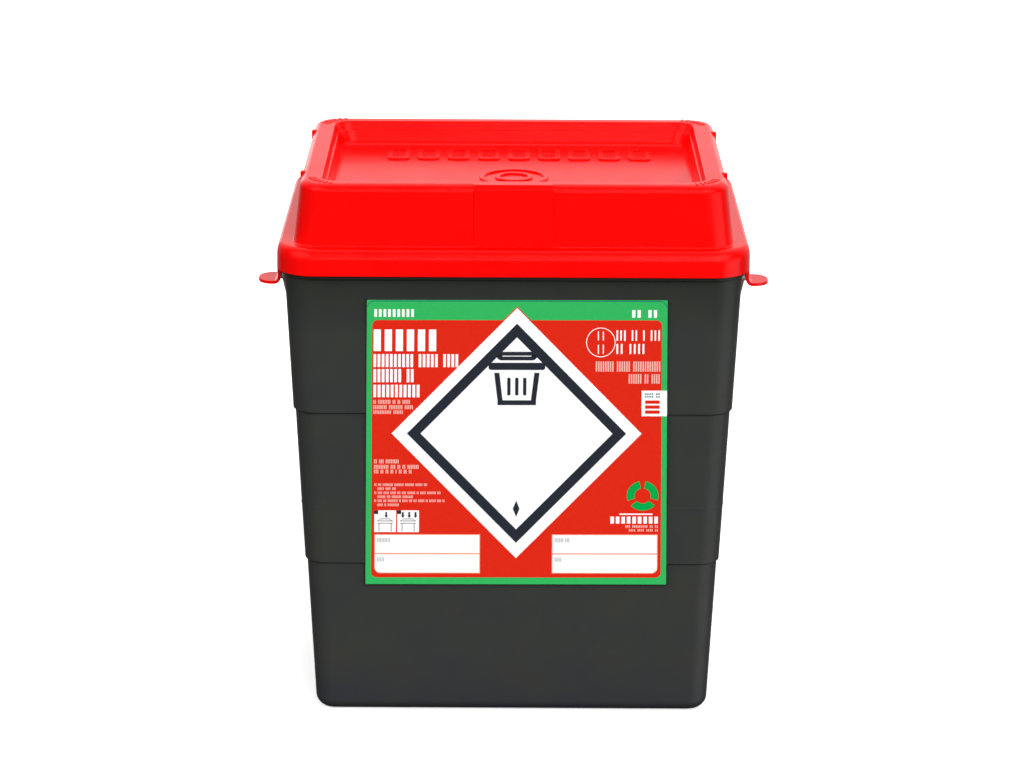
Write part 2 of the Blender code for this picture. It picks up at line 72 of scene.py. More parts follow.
LABEL_OFFSET = 0.0022         # the label sits this far right of the middle
LABEL_HEAD_HALF_WIDTH = 0.0837
LABEL_FOOT_HALF_WIDTH = 0.0863
LABEL_BOTTOM = 0.0806
LABEL_TOP = 0.252
LABEL_TURN = 0.0035           # slope of the label, which is stuck on a little out of level
LAND_PROUD = 0.0006           # least height of the flat label panel above the stepped wall
LAND_BEVEL = 0.0006
FILM_GAP = 0.00004
FILM_THICKNESS = 0.0002
INK_THICKNESS = 0.00003

CATCH_RIB_TOP = 0.2640
CATCH_RIB_HEIGHT = 0.0022
CATCH_RIB_PROUD = 0.0011
CATCH_HALF_ANGLE = radians(32)

# ---------------------------------------------------------------- lid
LID_WALL = 0.002
SKIRT_HALF_WIDTH = 0.1325
SKIRT_CORNER = 0.022
SKIRT_BOTTOM = 0.2657
SKIRT_EDGE = 0.0005
LEDGE_TOP = 0.281
LEDGE_THICKNESS = 0.0019
SKIRT_ROUNDING = (0.0026, 0.0056, 0.0072)   # on the sides, on the front and back, and in height
DOME_BASE = (0.1230, 0.0932)
DOME_SHOULDER = (0.1196, 0.0910)
DOME_CORNER = 0.0155
DOME_ROUNDING = 0.0045
DOME_FOOT_FILLET = 0.0009
RIDGE_TOP = 0.3161
RECESS_MOUTH = (0.1071, 0.0798)
RECESS_FLOOR = (0.1036, 0.0763)
RECESS_CORNER = 0.009
RECESS_FLOOR_TOP = 0.3024
RECESS_FILLET = 0.0045
RECESS_LIP = 0.0015
RECESS_LEDGE = 0.3110         # a narrow ledge runs round the recess at this height
RECESS_LEDGE_WIDTH = 0.0009
SEAL_LIP_OUTER = 0.1246
SEAL_LIP_WALL = 0.0015
SEAL_LIP_BOTTOM = 0.2752
FIT_GAP = 0.0003

NIB_OFFSET = 0.055            # the stacking nibs stand this far in front of and behind the middle
NIB_LENGTH = 0.0026
NIB_PROUD = 0.0007
NIB_HEIGHT = 0.0045
FRONT_PAD_HALF_WIDTH = 0.022
FRONT_PAD_PROUD = 0.0009
FRONT_PAD_TOP_INSET = 0.0010
FRONT_PAD_EDGE = 0.0003

EMBOSS_HEIGHT = 0.0011
EMBOSS_BEVEL = 0.0003
EMBOSS_STROKE = 0.0030
CELL_COUNT = 9
CELL_ROW = (-0.077, 0.083)    # left and right ends of the row of cells on the lid's sunken panel
CELL_DEPTHS = (0.034, 0.062)
CELL_FILL = 0.74              # share of the pitch that each cell covers
RING_CENTRE = (0.0, -0.0115)
RING_RADII = (0.011, 0.020)
RIDGE_RIB_HEIGHT = 0.0009
RIDGE_RIB_PROUD = 0.0004
RIDGE_RIB_COUNT = 6
RIDGE_RIB_HALF_SPREAD = radians(32)
RIDGE_RIB_WIDTH = 0.0013
RIDGE_RIB_LENGTH = 0.0045
RIDGE_RIB_MARGIN = 0.002

TAB_CENTRE = 0.067            # the locating tabs hang this far in front of the middle
TAB_HALF_LENGTH = 0.0105
TAB_REACH = 0.0122
TAB_THICKNESS = 0.0018
TAB_BOTTOM = 0.2556
TAB_BEND = 0.0032
TAB_EDGE = 0.0006
TONGUE_STEPS = 14
TONGUE_SWEEP = radians(84)    # the outline stops this far round, short of a point at the tip
TONGUE_ROUNDNESS = 2.4        # exponent of the outline; 2 is a half ellipse, and more is blunter

# ---------------------------------------------------------------- carry handle
PIVOT_HEIGHT = 0.248
BOSS_RADIUS = 0.0085
BOSS_END = 0.1327
PIN_RADIUS = 0.004
PIN_CLEARANCE = 0.0004
PIN_HEAD_RADIUS = 0.0062
PIN_HEAD_THICKNESS = 0.0014
HANDLE_INNER = 0.1330
HANDLE_THICKNESS = 0.0032
HANDLE_EYE_RADIUS = 0.009
HANDLE_LEG_HALF_WIDTH = 0.005
HANDLE_LEG_START = 0.006      # beyond the eye's hole, and short of its rim
HANDLE_REACH = 0.1145
HANDLE_CORNER = 0.009
GRIP_DEPTH = 0.0075
GRIP_HALF_WIDTH = 0.008
GRIP_HALF_LENGTH = 0.048
GRIP_WAVES = 4
GRIP_WAVE_DEPTH = 0.0007
GRIP_END_STEPS = 6
GRIP_END_SHARE = 0.65         # thickness of the grip's ends as a share of its middle
GRIP_EDGE_SHARE = 0.6         # rounding of the grip as a share of its smaller half
HANDLE_EDGE = 0.0006
HANDLE_REST_ANGLE = radians(-30)
STOWED = Matrix.Translation((0, 0, PIVOT_HEIGHT)) @ Matrix.Rotation(HANDLE_REST_ANGLE, 4, "X")

# ---------------------------------------------------------------- camera and light
CAMERA_PLACE = (-0.0005, -1.8944, 0.7321)
CAMERA_PITCH = radians(16.39)
CAMERA_ROLL = radians(0.28)
CAMERA_LENS = 117.44
SENSOR_WIDTH = 36.0
FLOOR_RADIUS = 9.0
FLOOR_SIDES = 64
FLOOR_HAZE = 0.25             # size of the cloudy patches in the floor
BRIGHT_SIDE = (0.10, 0.80, 0.58)   # direction in which the surroundings are brightest
SKY_SPREAD = (0.20, 0.95)     # how far towards the bright side the sky is still dim, and is fully bright
SKY_STRENGTHS = (0.05, 0.68)
SUN_SOFTNESS = radians(50)
SUNS = {                      # strength, and the side each one shines from
    "key_light": (3.4, (0.45, -0.75, 0.52)),
    "fill_light": (2.0, (-0.66, -0.52, 0.54)),
    "rear_light": (1.0, (0.25, 0.92, 0.30)),
}
SOFTBOXES = {                 # place, width, height and brightness of what the gloss reflects
    "front_softbox": ((0.0, -2.6, 0.93), 2.0, 0.4, 0.55),
    "rear_left_softbox": ((-1.1, 3.8, 0.4), 0.9, 1.2, 0.9),
    "rear_right_softbox": ((1.1, 3.8, 0.4), 0.9, 1.2, 0.4),
    "bounce_board": ((0.55, -0.28, 0.002), 0.5, 0.7, 0.6),
}
FLOOR_GLOW = 0.45

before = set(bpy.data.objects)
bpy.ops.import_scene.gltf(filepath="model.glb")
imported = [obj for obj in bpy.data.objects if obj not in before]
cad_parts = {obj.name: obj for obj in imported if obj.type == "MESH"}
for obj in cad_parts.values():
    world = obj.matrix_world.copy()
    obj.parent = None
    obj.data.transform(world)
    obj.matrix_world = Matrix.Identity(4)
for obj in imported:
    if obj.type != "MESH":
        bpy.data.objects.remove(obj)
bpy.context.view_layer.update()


# ================================================================ mesh tools
def object_from(bm, name, material):
    """Turn a bmesh into an object with outward faces, smooth between its sharp edges."""
    bmesh.ops.recalc_face_normals(bm, faces=bm.faces)
    mesh = bpy.data.meshes.new(name)
    bm.to_mesh(mesh)
    bm.free()
    obj = bpy.data.objects.new(name, mesh)
    bpy.context.collection.objects.link(obj)
    mesh.materials.append(material)
    mesh.shade_smooth()
    mesh.set_sharp_from_angle(angle=SHARP_EDGE)
    return obj


def even_shading(obj):
    """Keep broad flat faces flat beside narrow rounded edges."""
    modifier = obj.modifiers.new("even_shading", "WEIGHTED_NORMAL")
    modifier.keep_sharp = True
    modifier.weight = FLAT_FACE_WEIGHT


def rounded_edges(obj, width):
    """Round every sharp edge of a finished piece."""
    modifier = obj.modifiers.new("rounded_edges", "BEVEL")
    modifier.width = width
    modifier.segments = EDGE_SEGMENTS
    modifier.limit_method = "ANGLE"
    modifier.angle_limit = SHARP_EDGE
    even_shading(obj)


def apply_modifiers(obj):
    """Bake the modifiers into the mesh, so that tools left over can be deleted."""
    evaluated = obj.evaluated_get(bpy.context.evaluated_depsgraph_get())
    mesh = bpy.data.meshes.new_from_object(evaluated)
    obj.modifiers.clear()
    obj.data = mesh


def unite(obj, additions):
    """Join closed shapes into the object's own skin."""
    for addition in additions:
        modifier = obj.modifiers.new(addition.name, "BOOLEAN")
        modifier.operation = "UNION"
        modifier.solver = "EXACT"
        modifier.object = addition
    bpy.context.view_layer.update()
    apply_modifiers(obj)
    for addition in additions:
        bpy.data.objects.remove(addition, do_unlink=True)
    obj.data.set_sharp_from_angle(angle=SHARP_EDGE)


def outline(half_x, half_y, radius, front_marks=()):
    """A rounded rectangle, anticlockwise from above, with extra points along its front side."""
    points = []
    for corner, (sx, sy) in enumerate(((1, 1), (-1, 1), (-1, -1), (1, -1))):
        for step in range(CORNER_STEPS + 1):
            angle = (corner + step / CORNER_STEPS) * pi / 2
            x = sx * (half_x - radius) + radius * cos(angle)
            y = sy * (half_y - radius) + radius * sin(angle)
            points.append((x, y))
        if (sx, sy) == (-1, -1):
            points += [(x, -half_y) for x in front_marks]
    return points


def bridge(bm, rings):
    """Faces all the way round between each ring of vertices and the next one."""
    for ring, next_ring in zip(rings, rings[1:]):
        for index in range(len(ring)):
            following = (index + 1) % len(ring)
            bm.faces.new((ring[index], ring[following], next_ring[following], next_ring[index]))


def loft(rows):
    """A closed body through rows of points, with a flat face over the first and the last."""
    bm = bmesh.new()
    rings = [[bm.verts.new(point) for point in row] for row in rows]
    bridge(bm, rings)
    bm.faces.new(rings[0])
    bm.faces.new(rings[-1])
    return bm


def band(rows):
    """A closed body like a tube, through rows of points and from the last row back to the first."""
    bm = bmesh.new()
    rings = [[bm.verts.new(point) for point in row] for row in rows]
    bridge(bm, rings + rings[:1])
    return bm


def prism(points, height, placement):
    """A flat outline, a list of (x, y), extruded along its normal and then placed."""
    bm = bmesh.new()
    face = bm.faces.new([bm.verts.new((x, y, 0.0)) for x, y in points])
    extruded = bmesh.ops.extrude_face_region(bm, geom=[face])
    raised = [item for item in extruded["geom"] if isinstance(item, bmesh.types.BMVert)]
    bmesh.ops.translate(bm, vec=(0, 0, height), verts=raised)
    bmesh.ops.transform(bm, matrix=placement, verts=bm.verts)
    return bm


def arc(centre_x, centre_y, radius, start, end, steps=FILLET_STEPS):
    """Points along a circular arc, both ends included."""
    angles = [start + (end - start) * step / steps for step in range(steps + 1)]
    return [(centre_x + radius * cos(angle), centre_y + radius * sin(angle)) for angle in angles]


def turned_rows(profile):
    """Circles about Z, one for each (radius, height) of a profile."""
    angles = [2 * pi * step / ROUND_STEPS for step in range(ROUND_STEPS)]
    rows = []
    for radius, height in profile:
        rows.append([(radius * cos(angle), radius * sin(angle), height) for angle in angles])
    return rows


def mirror_to(bm, sx, sy):
    """Flip a shape drawn on the right and at the back to another side or corner."""
    bmesh.ops.transform(bm, matrix=Matrix.Diagonal((sx, sy, 1, 1)), verts=bm.verts)
    return bm


def merge_in(bm, other):
    """Add one bmesh's faces to another."""
    mesh = bpy.data.meshes.new("merge")
    other.to_mesh(mesh)
    other.free()
    bm.from_mesh(mesh)
    bpy.data.meshes.remove(mesh)


def soften(bm, width):
    """Bevel every edge of a small raised shape."""
    bmesh.ops.bevel(bm, geom=bm.edges[:], offset=width, offset_type="OFFSET", segments=2, profile=0.5,
                    affect="EDGES", clamp_overlap=True)
    return bm


CORNERS = {"front_left": (-1, -1), "front_right": (1, -1), "rear_left": (-1, 1), "rear_right": (1, 1)}
SIDES = {"left": -1, "right": 1}
ALONG_X = Matrix(((0, 0, 1, 0), (1, 0, 0, 0), (0, 1, 0, 0), (0, 0, 0, 1)))   # (y, z) outline along x
ALONG_Y = Matrix(((1, 0, 0, 0), (0, 0, 1, 0), (0, 1, 0, 0), (0, 0, 0, 1)))   # (x, z) outline along y


# ================================================================ materials
def colour(hex_code):
    """Linear colour of an sRGB hex value."""
    channels = [int(hex_code[index:index + 2], 16) / 255 for index in (1, 3, 5)]
    linear = [c / 12.92 if c <= 0.04045 else ((c + 0.055) / 1.055) ** 2.4 for c in channels]
    return (*linear, 1.0)


def add_node(tree, kind, settings=None, links=None):
    """Add a node, set its properties and sockets, and link its inputs to other nodes' outputs."""
    node = tree.nodes.new(kind)
    for name, value in (settings or {}).items():
        if name in node.inputs:
            node.inputs[name].default_value = value
        else:
            setattr(node, name, value)
    for name, source in (links or {}).items():
        tree.links.new(source, node.inputs[name])
    return node


def new_material(name, settings):
    """An empty material with its main shader set."""
    material = bpy.data.materials.new(name)
    material.use_nodes = True
    tree = material.node_tree
    shader = tree.nodes["Principled BSDF"]
    for socket, value in settings.items():
        shader.inputs[socket].default_value = value
    return material, tree, shader


NOISE_LOW = 0.3               # nearly all of a noise pattern lies between these two values
NOISE_HIGH = 0.7
WEAR_FINENESS = 2.5           # how much finer the worn gloss is than the flow marks
PRINT_SCREEN = 0.0016         # coarser than a real print screen, so that it shows
# tones multiplied into the tub's colour up the wall: faintly blue near the foot, and painted shade of the
# lid's shadow darkening the top and the collar
TUB_TINT_AND_PAINTED_SHADE = ((0.03, "#EEEEFF"), (0.14, "#FFFFFF"), (0.82, "#FDFFFE"), (0.93, "#DADDD8"))   # up the wall


def colour_ramp(tree, factor, stops):
    """A colour that changes along a factor; stops are (position, hex colour) pairs, lowest first."""
    ramp = add_node(tree, "ShaderNodeValToRGB", links={"Fac": factor})
    elements = ramp.color_ramp.elements
    elements[0].position = stops[0][0]
    elements[1].position = stops[-1][0]
    for position, _ in stops[1:-1]:
        elements.new(position)
    for element, (_, shade) in zip(elements, stops):
        element.color = colour(shade)
    return ramp.outputs["Color"]


def mottled_colour(tree, pattern, low, high):
    """Two close shades, mixed by a noise pattern."""
    return colour_ramp(tree, pattern.outputs["Fac"], ((NOISE_LOW, low), (NOISE_HIGH, high)))


def moulded_plastic(name, low, high, roughness, flow, grain, grain_depth, specular):
    """Injection moulded plastic: faint flow marks in its colour, and a fine grain from the mould.

    roughness is a pair; flow and grain are the sizes in metres of the marks and of the grain.
    """
    material, tree, shader = new_material(name, {"IOR": 1.49, "Specular IOR Level": specular})
    place = add_node(tree, "ShaderNodeTexCoord").outputs["Object"]
    marks = add_node(tree, "ShaderNodeTexNoise",
                     {"Scale": 1 / flow, "Detail": 3.0, "Roughness": 0.5, "Distortion": 0.6},
                     {"Vector": place})
    tree.links.new(mottled_colour(tree, marks, low, high), shader.inputs["Base Color"])
    wear = add_node(tree, "ShaderNodeTexNoise", {"Scale": WEAR_FINENESS / flow, "Detail": 5.0},
                    {"Vector": place})
    gloss = add_node(tree, "ShaderNodeMapRange",
                     {"From Min": NOISE_LOW, "From Max": NOISE_HIGH,
                      "To Min": roughness[0], "To Max": roughness[1]},
                     {"Value": wear.outputs["Fac"]})
    tree.links.new(gloss.outputs["Result"], shader.inputs["Roughness"])
    texture = add_node(tree, "ShaderNodeTexNoise", {"Scale": 1 / grain, "Detail": 2.0}, {"Vector": place})
    bump = add_node(tree, "ShaderNodeBump", {"Strength": 0.5, "Distance": grain_depth},
                    {"Height": texture.outputs["Fac"]})
    tree.links.new(bump.outputs["Normal"], shader.inputs["Normal"])
    return material, shader


def red_polypropylene():
    """Moulded red polypropylene: an even, strong red with a soft gloss and barely any grain."""
    return moulded_plastic("moulded_red_polypropylene", "#EE0100", "#F40301", (0.20, 0.27),
                           flow=0.035, grain=0.0011, grain_depth=0.000012, specular=0.5)[0]


def charcoal_polypropylene():
    """Moulded charcoal polypropylene with recycled content: satin, faintly mottled, faintly blue towards
    the foot, and darkened under the rim by painted shade of the lid's shadow.
    """
    material, shader = moulded_plastic("moulded_charcoal_polypropylene", "#323435", "#363732",
                                       (0.38, 0.48), flow=0.028, grain=0.0008, grain_depth=0.00003,
                                       specular=0.5)
    tree = material.node_tree
    mottle = shader.inputs["Base Color"].links[0].from_socket
    place = add_node(tree, "ShaderNodeTexCoord").outputs["Object"]
    height = add_node(tree, "ShaderNodeSeparateXYZ", links={"Vector": place}).outputs["Z"]
    share = add_node(tree, "ShaderNodeMapRange", {"From Min": 0.0, "From Max": TUB_HEIGHT},
                     {"Value": height})
    # painted shade: the top of the wall and the collar are darkened where the lid's shadow falls, and the
    # foot is tinted faintly blue
    tint_and_painted_shade = colour_ramp(tree, share.outputs["Result"], TUB_TINT_AND_PAINTED_SHADE)
    blend = add_node(tree, "ShaderNodeMix", {"data_type": "RGBA", "blend_type": "MULTIPLY"})
    whole, first, second = (blend.inputs[index] for index in (0, 6, 7))   # the sockets for colours
    whole.default_value = 1.0
    tree.links.new(mottle, first)
    tree.links.new(tint_and_painted_shade, second)
    tree.links.new(blend.outputs[2], shader.inputs["Base Color"])
    return material


def natural_polypropylene():
    """Moulded natural polypropylene: milky white, and light passes a little way into it."""
    material, shader = moulded_plastic("moulded_natural_polypropylene", "#DADCD6", "#E4E5E0",
                                       (0.32, 0.42), flow=0.02, grain=0.0009, grain_depth=0.00001,
                                       specular=0.5)
    shader.inputs["Subsurface Weight"].default_value = 0.3
    shader.inputs["Subsurface Radius"].default_value = (1.0, 0.95, 0.85)
    shader.inputs["Subsurface Scale"].default_value = 0.0015
    return material


def printed_ink(name, low, high):
    """Ink printed on plastic film: flat colour, a slight sheen, and a fine print screen."""
    material, tree, shader = new_material(name, {"IOR": 1.5, "Specular IOR Level": 0.25,
                                                 "Roughness": 0.42})
    place = add_node(tree, "ShaderNodeTexCoord").outputs["Object"]
    screen = add_node(tree, "ShaderNodeTexNoise", {"Scale": 1 / PRINT_SCREEN, "Detail": 2.0},
                      {"Vector": place})
    tree.links.new(mottled_colour(tree, screen, low, high), shader.inputs["Base Color"])
    bump = add_node(tree, "ShaderNodeBump", {"Strength": 0.15, "Distance": 0.00001},
                    {"Height": screen.outputs["Fac"]})
    tree.links.new(bump.outputs["Normal"], shader.inputs["Normal"])
    return material


def lit_acrylic():
    """White acrylic, lit from beneath, that the container stands on: even, and almost free of shadow."""
    material, tree, shader = new_material("lit_white_acrylic", {"Roughness": 0.9,
                                                                "Specular IOR Level": 0.1})
    place = add_node(tree, "ShaderNodeTexCoord").outputs["Object"]
    haze = add_node(tree, "ShaderNodeTexNoise", {"Scale": 1 / FLOOR_HAZE, "Detail": 3.0},
                    {"Vector": place})
    tree.links.new(mottled_colour(tree, haze, "#F4F4F3", "#F7F7F6"), shader.inputs["Base Color"])
    shader.inputs["Emission Color"].default_value = colour("#FFFFFF")
    shader.inputs["Emission Strength"].default_value = FLOOR_GLOW
    return material


RED = red_polypropylene()
CHARCOAL = charcoal_polypropylene()
NATURAL = natural_polypropylene()
INKS = {
    "green": printed_ink("green_film", "#31B05B", "#35B45E"),
    "red": printed_ink("red_ink", "#D72614", "#DB2916"),
    "white": printed_ink("white_ink", "#F6F6F5", "#FAFAF9"),
    "dark": printed_ink("dark_ink", "#262932", "#2A2D36"),
    "teal": printed_ink("teal_ink", "#1C6F6B", "#20786F"),
    "salmon": printed_ink("salmon_ink", "#EE8A70", "#F09077"),
    "pink": printed_ink("pink_ink", "#F3B0A6", "#F5B6AD"),
    "grey": printed_ink("grey_ink", "#B4B4B6", "#BABABC"),
    "emerald": printed_ink("emerald_ink", "#00A246", "#04A84B"),
}


# ================================================================ tub
def tub_half_width(z):
    """Half width of the tub's outer wall at a height, with one smooth step out for each tier."""
    width = BASE_HALF_WIDTH + DRAFT * z
    for height in STEP_HEIGHTS:
        climbed = min(max((z - height) / STEP_RISE + 0.5, 0.0), 1.0)
        width += STEP_OUT * climbed * climbed * (3 - 2 * climbed)
    return width


def land_front(z, proud=LAND_PROUD):
    """Distance in front of the middle of the flat label panel, which bridges the two step edges."""
    low, high = STEP_HEIGHTS
    slope = (tub_half_width(high + STEP_RISE) - tub_half_width(low + STEP_RISE)) / (high - low)
    edge = tub_half_width(low + STEP_RISE) - WIDTH_OVER_DEPTH
    return edge + slope * (z - low - STEP_RISE) + proud


def label_half_width(z):
    """Half width of the label at a height."""
    share = (z - LABEL_BOTTOM) / (LABEL_TOP - LABEL_BOTTOM)
    return LABEL_FOOT_HALF_WIDTH + (LABEL_HEAD_HALF_WIDTH - LABEL_FOOT_HALF_WIDTH) * share


def land_marks(z, straight):
    """Places along the front side where the flat label panel and its bevels begin and end."""
    inside = min(max(z, LABEL_BOTTOM), LABEL_TOP)
    half = label_half_width(inside)
    marks = []
    for side in (-1, 1):
        for margin in (0.0, LAND_BEVEL):
            marks.append(LABEL_OFFSET + side * (half + margin))
    full = tub_half_width(inside) - TUB_CORNER_HIGH
    return [mark * min(straight / full, 1.0) for mark in sorted(marks)]


def tub_row(z, inset=0.0, at=None, land=False):
    """The tub's outline at height z, drawn in by inset; at gives another height to place it."""
    half_width = tub_half_width(z) - inset
    corner = TUB_CORNER_LOW + (TUB_CORNER_HIGH - TUB_CORNER_LOW) * z / TUB_HEIGHT
    radius = max(corner - inset, SMALLEST_CORNER)
    half_depth = half_width - WIDTH_OVER_DEPTH
    marks = land_marks(z, half_width - radius)
    height = z if at is None else at
    row = []
    for x, y in outline(half_width, half_depth, radius, marks):
        on_land = land and y <= -half_depth and marks[1] - TOUCH <= x <= marks[2] + TOUCH
        row.append((x, -land_front(z) if on_land else y, height))
    return row


def collar_row(z, inset=0.0):
    """The upright collar round the tub's mouth, whose corners match the inside of the lid's skirt."""
    half_width = COLLAR_HALF_WIDTH - inset
    corner = SKIRT_CORNER - (SKIRT_HALF_WIDTH - half_width)
    marks = land_marks(z, half_width - corner)
    return [(x, y, z) for x, y in outline(half_width, half_width - WIDTH_OVER_DEPTH, corner, marks)]


def plain_row(half_x, half_y, corner, z):
    """A rounded rectangle with the same number of points as the tub's other rows."""
    marks = land_marks(z, half_x - corner)
    return [(x, y, z) for x, y in outline(half_x, half_y, corner, marks)]


def outer_wall_rows():
    """Rows up the outside, from above the heel to below the collar."""
    rows = []
    stops = []
    for height in STEP_HEIGHTS:
        for step in range(STEP_ROWS + 1):
            stops.append((height + (step / STEP_ROWS - 0.5) * STEP_RISE, 0.0))
    for offset, proud in ((-0.5, 0.0), (-0.25, 1.0), (0.25, 1.0), (0.5, 0.0)):
        stops.append((LEVEL_LINE + offset * LEVEL_LINE_HEIGHT, proud * LEVEL_LINE_PROUD))
    for z, proud in stops:
        rows.append((z, tub_row(z, inset=-proud, at=z, land=LABEL_BOTTOM <= z <= LABEL_TOP)))
    for z, land in ((LABEL_BOTTOM - LAND_BEVEL, False), (LABEL_BOTTOM, True),
                    (LABEL_TOP, True), (LABEL_TOP + LAND_BEVEL, False)):
        rows.append((z, tub_row(z, land=land)))
    rows.sort(key=lambda row: row[0])
    return [row for _, row in rows]


def underside_rows():
    """The pad under the middle, the recessed floor, the foot band and the rounded heel."""
    pad_x, pad_y = GATE_PAD
    pad_corner = pad_y / 2
    recess_edge = HEEL_RADIUS + FOOT_WIDTH
    rows = [
        plain_row(pad_x, pad_y, pad_corner, 0.0),
        plain_row(pad_x + UNDERSIDE_RECESS, pad_y + UNDERSIDE_RECESS, pad_corner, UNDERSIDE_RECESS),
        tub_row(0.0, recess_edge + UNDERSIDE_RECESS, UNDERSIDE_RECESS),
        tub_row(0.0, recess_edge, 0.0),
    ]
    for angle in QUARTER_TURN:
        rows.append(tub_row(HEEL_RADIUS * (1 - cos(angle)), HEEL_RADIUS * (1 - sin(angle))))
    return rows


def collar_rows():
    """The collar's rounded foot, and the rounded rim of the tub's mouth."""
    rows = []
    for angle in QUARTER_TURN:
        inset = COLLAR_ROUNDING * (1 - sin(angle))
        rows.append(collar_row(COLLAR_BOTTOM + COLLAR_ROUNDING * (1 - cos(angle)), inset))
    for angle in QUARTER_TURN:
        inset = RIM_CHAMFER * (1 - cos(angle))
        rows.append(collar_row(TUB_HEIGHT - RIM_CHAMFER * (1 - sin(angle)), inset))
    return rows


def inside_rows():
    """Down the inside wall and round onto the floor."""
    inner_floor = TUB_FLOOR + UNDERSIDE_RECESS
    fillet_top = inner_floor + FLOOR_FILLET
    rows = [tub_row(TUB_HEIGHT, TUB_WALL + RIM_CHAMFER), tub_row(TUB_HEIGHT - RIM_CHAMFER, TUB_WALL)]
    for height in reversed(STEP_HEIGHTS):
        for step in reversed(range(STEP_ROWS + 1)):
            rows.append(tub_row(height + (step / STEP_ROWS - 0.5) * STEP_RISE, TUB_WALL))
    for angle in QUARTER_TURN:
        inset = TUB_WALL + FLOOR_FILLET * (1 - cos(angle))
        rows.append(tub_row(fillet_top - FLOOR_FILLET * sin(angle), inset))
    return rows


def make_tub_shell():
    """The whole tub: underside, stepped wall with its flat label panel, collar and inside."""
    rows = underside_rows() + outer_wall_rows() + [tub_row(COLLAR_BOTTOM)]
    rows += collar_rows() + inside_rows()
    tub = object_from(loft(rows), "tub_shell", CHARCOAL)
    even_shading(tub)
    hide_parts("tub")
    return tub


def catch_rib(name, sx, sy):
    """A short curved rib inside a top corner, which a latch under the lid snaps beneath."""
    half = tub_half_width(CATCH_RIB_TOP) - TUB_WALL
    corner = TUB_CORNER_LOW + (TUB_CORNER_HIGH - TUB_CORNER_LOW) * CATCH_RIB_TOP / TUB_HEIGHT
    radius = corner - TUB_WALL
    centre = (half - radius, half - WIDTH_OVER_DEPTH - radius)
    start = pi / 4 - CATCH_HALF_ANGLE
    end = pi / 4 + CATCH_HALF_ANGLE
    points = arc(*centre, radius + TUB_WALL / 2, start, end)
    points += arc(*centre, radius - CATCH_RIB_PROUD, end, start)
    lift = Matrix.Translation((0, 0, CATCH_RIB_TOP - CATCH_RIB_HEIGHT))
    shape = mirror_to(prism(points, CATCH_RIB_HEIGHT, lift), sx, sy)
    rib = object_from(shape, "catch_rib_" + name, CHARCOAL)
    rounded_edges(rib, TAB_EDGE / 2)
    return rib


def pivot_boss(name, sx):
    """A round boss on the side wall with the pin and head that the handle's eye turns on."""
    foot = tub_half_width(PIVOT_HEIGHT) - TUB_WALL / 2
    head_end = HANDLE_INNER + HANDLE_THICKNESS + FIT_GAP + PIN_HEAD_THICKNESS
    head_start = head_end - PIN_HEAD_THICKNESS
    rounding = TAB_EDGE
    profile = [(AXIS_RADIUS, foot), (BOSS_RADIUS, foot)]
    profile += arc(BOSS_RADIUS - rounding, BOSS_END - rounding, rounding, 0, pi / 2)
    profile += [(PIN_RADIUS, BOSS_END), (PIN_RADIUS, head_start), (PIN_HEAD_RADIUS, head_start)]
    profile += arc(PIN_HEAD_RADIUS - rounding, head_end - rounding, rounding, 0, pi / 2)
    profile.append((AXIS_RADIUS, head_end))
    boss = object_from(loft(turned_rows(profile)), "pivot_boss_" + name, CHARCOAL)
    side = Matrix.Translation((0, 0, PIVOT_HEIGHT)) @ Matrix.Rotation(sx * pi / 2, 4, "Y")
    boss.data.transform(side)
    return boss


# ================================================================ label
def label_point(u, v, lift):
    """World place of a point on the label: u right of its middle, v above its middle, lift outwards."""
    middle = (LABEL_BOTTOM + LABEL_TOP) / 2
    z = middle + v + LABEL_TURN * u
    spread = label_half_width(z) / label_half_width(middle)
    return LABEL_OFFSET + u * spread, -land_front(z, LAND_PROUD + lift), z


class Artwork:
    """Shapes in one ink, each a thin closed slab at the ink's own level on the film."""

    def __init__(self, name, ink, level):
        self.name = name
        self.ink = ink
        self.low = FILM_GAP + FILM_THICKNESS + (level - 1) * INK_THICKNESS
        self.high = self.low + INK_THICKNESS
        self.bm = bmesh.new()

    def ring(self, points, lift):
        """Vertices at (u, v) pairs in millimetres, bowed a little as the film was stretched on."""
        vertices = []
        for u, v in points:
            raised = v + ARTWORK_RISE + ARTWORK_BOW * (1 - (v / LABEL_HALF[1]) ** 2)
            vertices.append(self.bm.verts.new(label_point(u * MM, raised * MM, lift)))
        return vertices

    def slab(self, points):
        """One flat shape, given as (u, v) pairs in millimetres, anticlockwise."""
        rings = [self.ring(points, self.low), self.ring(points, self.high)]
        bridge(self.bm, rings)
        for ring in rings:
            self.bm.faces.new(ring)

    def frame(self, outer, inner):
        """A closed band between two outlines with the same number of points."""
        rings = [self.ring(outer, self.low), self.ring(outer, self.high),
                 self.ring(inner, self.high), self.ring(inner, self.low)]
        bridge(self.bm, rings + rings[:1])

    def box(self, left, right, low, high, corner=0.0):
        self.slab(rounded_box(left, right, low, high, corner))

    def blocks(self, lines, fill):
        """Lines of plain upright blocks in groups, where lines of print would be.

        fill is the share of its pitch that each block covers.
        """
        for left, right, low, high, words in lines:
            pitches = sum(words) + (len(words) - 1)
            pitch = (right - left) / (pitches - 1 + fill)
            start = left
            for count in words:
                for _ in range(count):
                    self.box(start, start + pitch * fill, low, high)
                    start += pitch
                start += pitch

    def finish(self):
        return object_from(self.bm, self.name, INKS[self.ink])


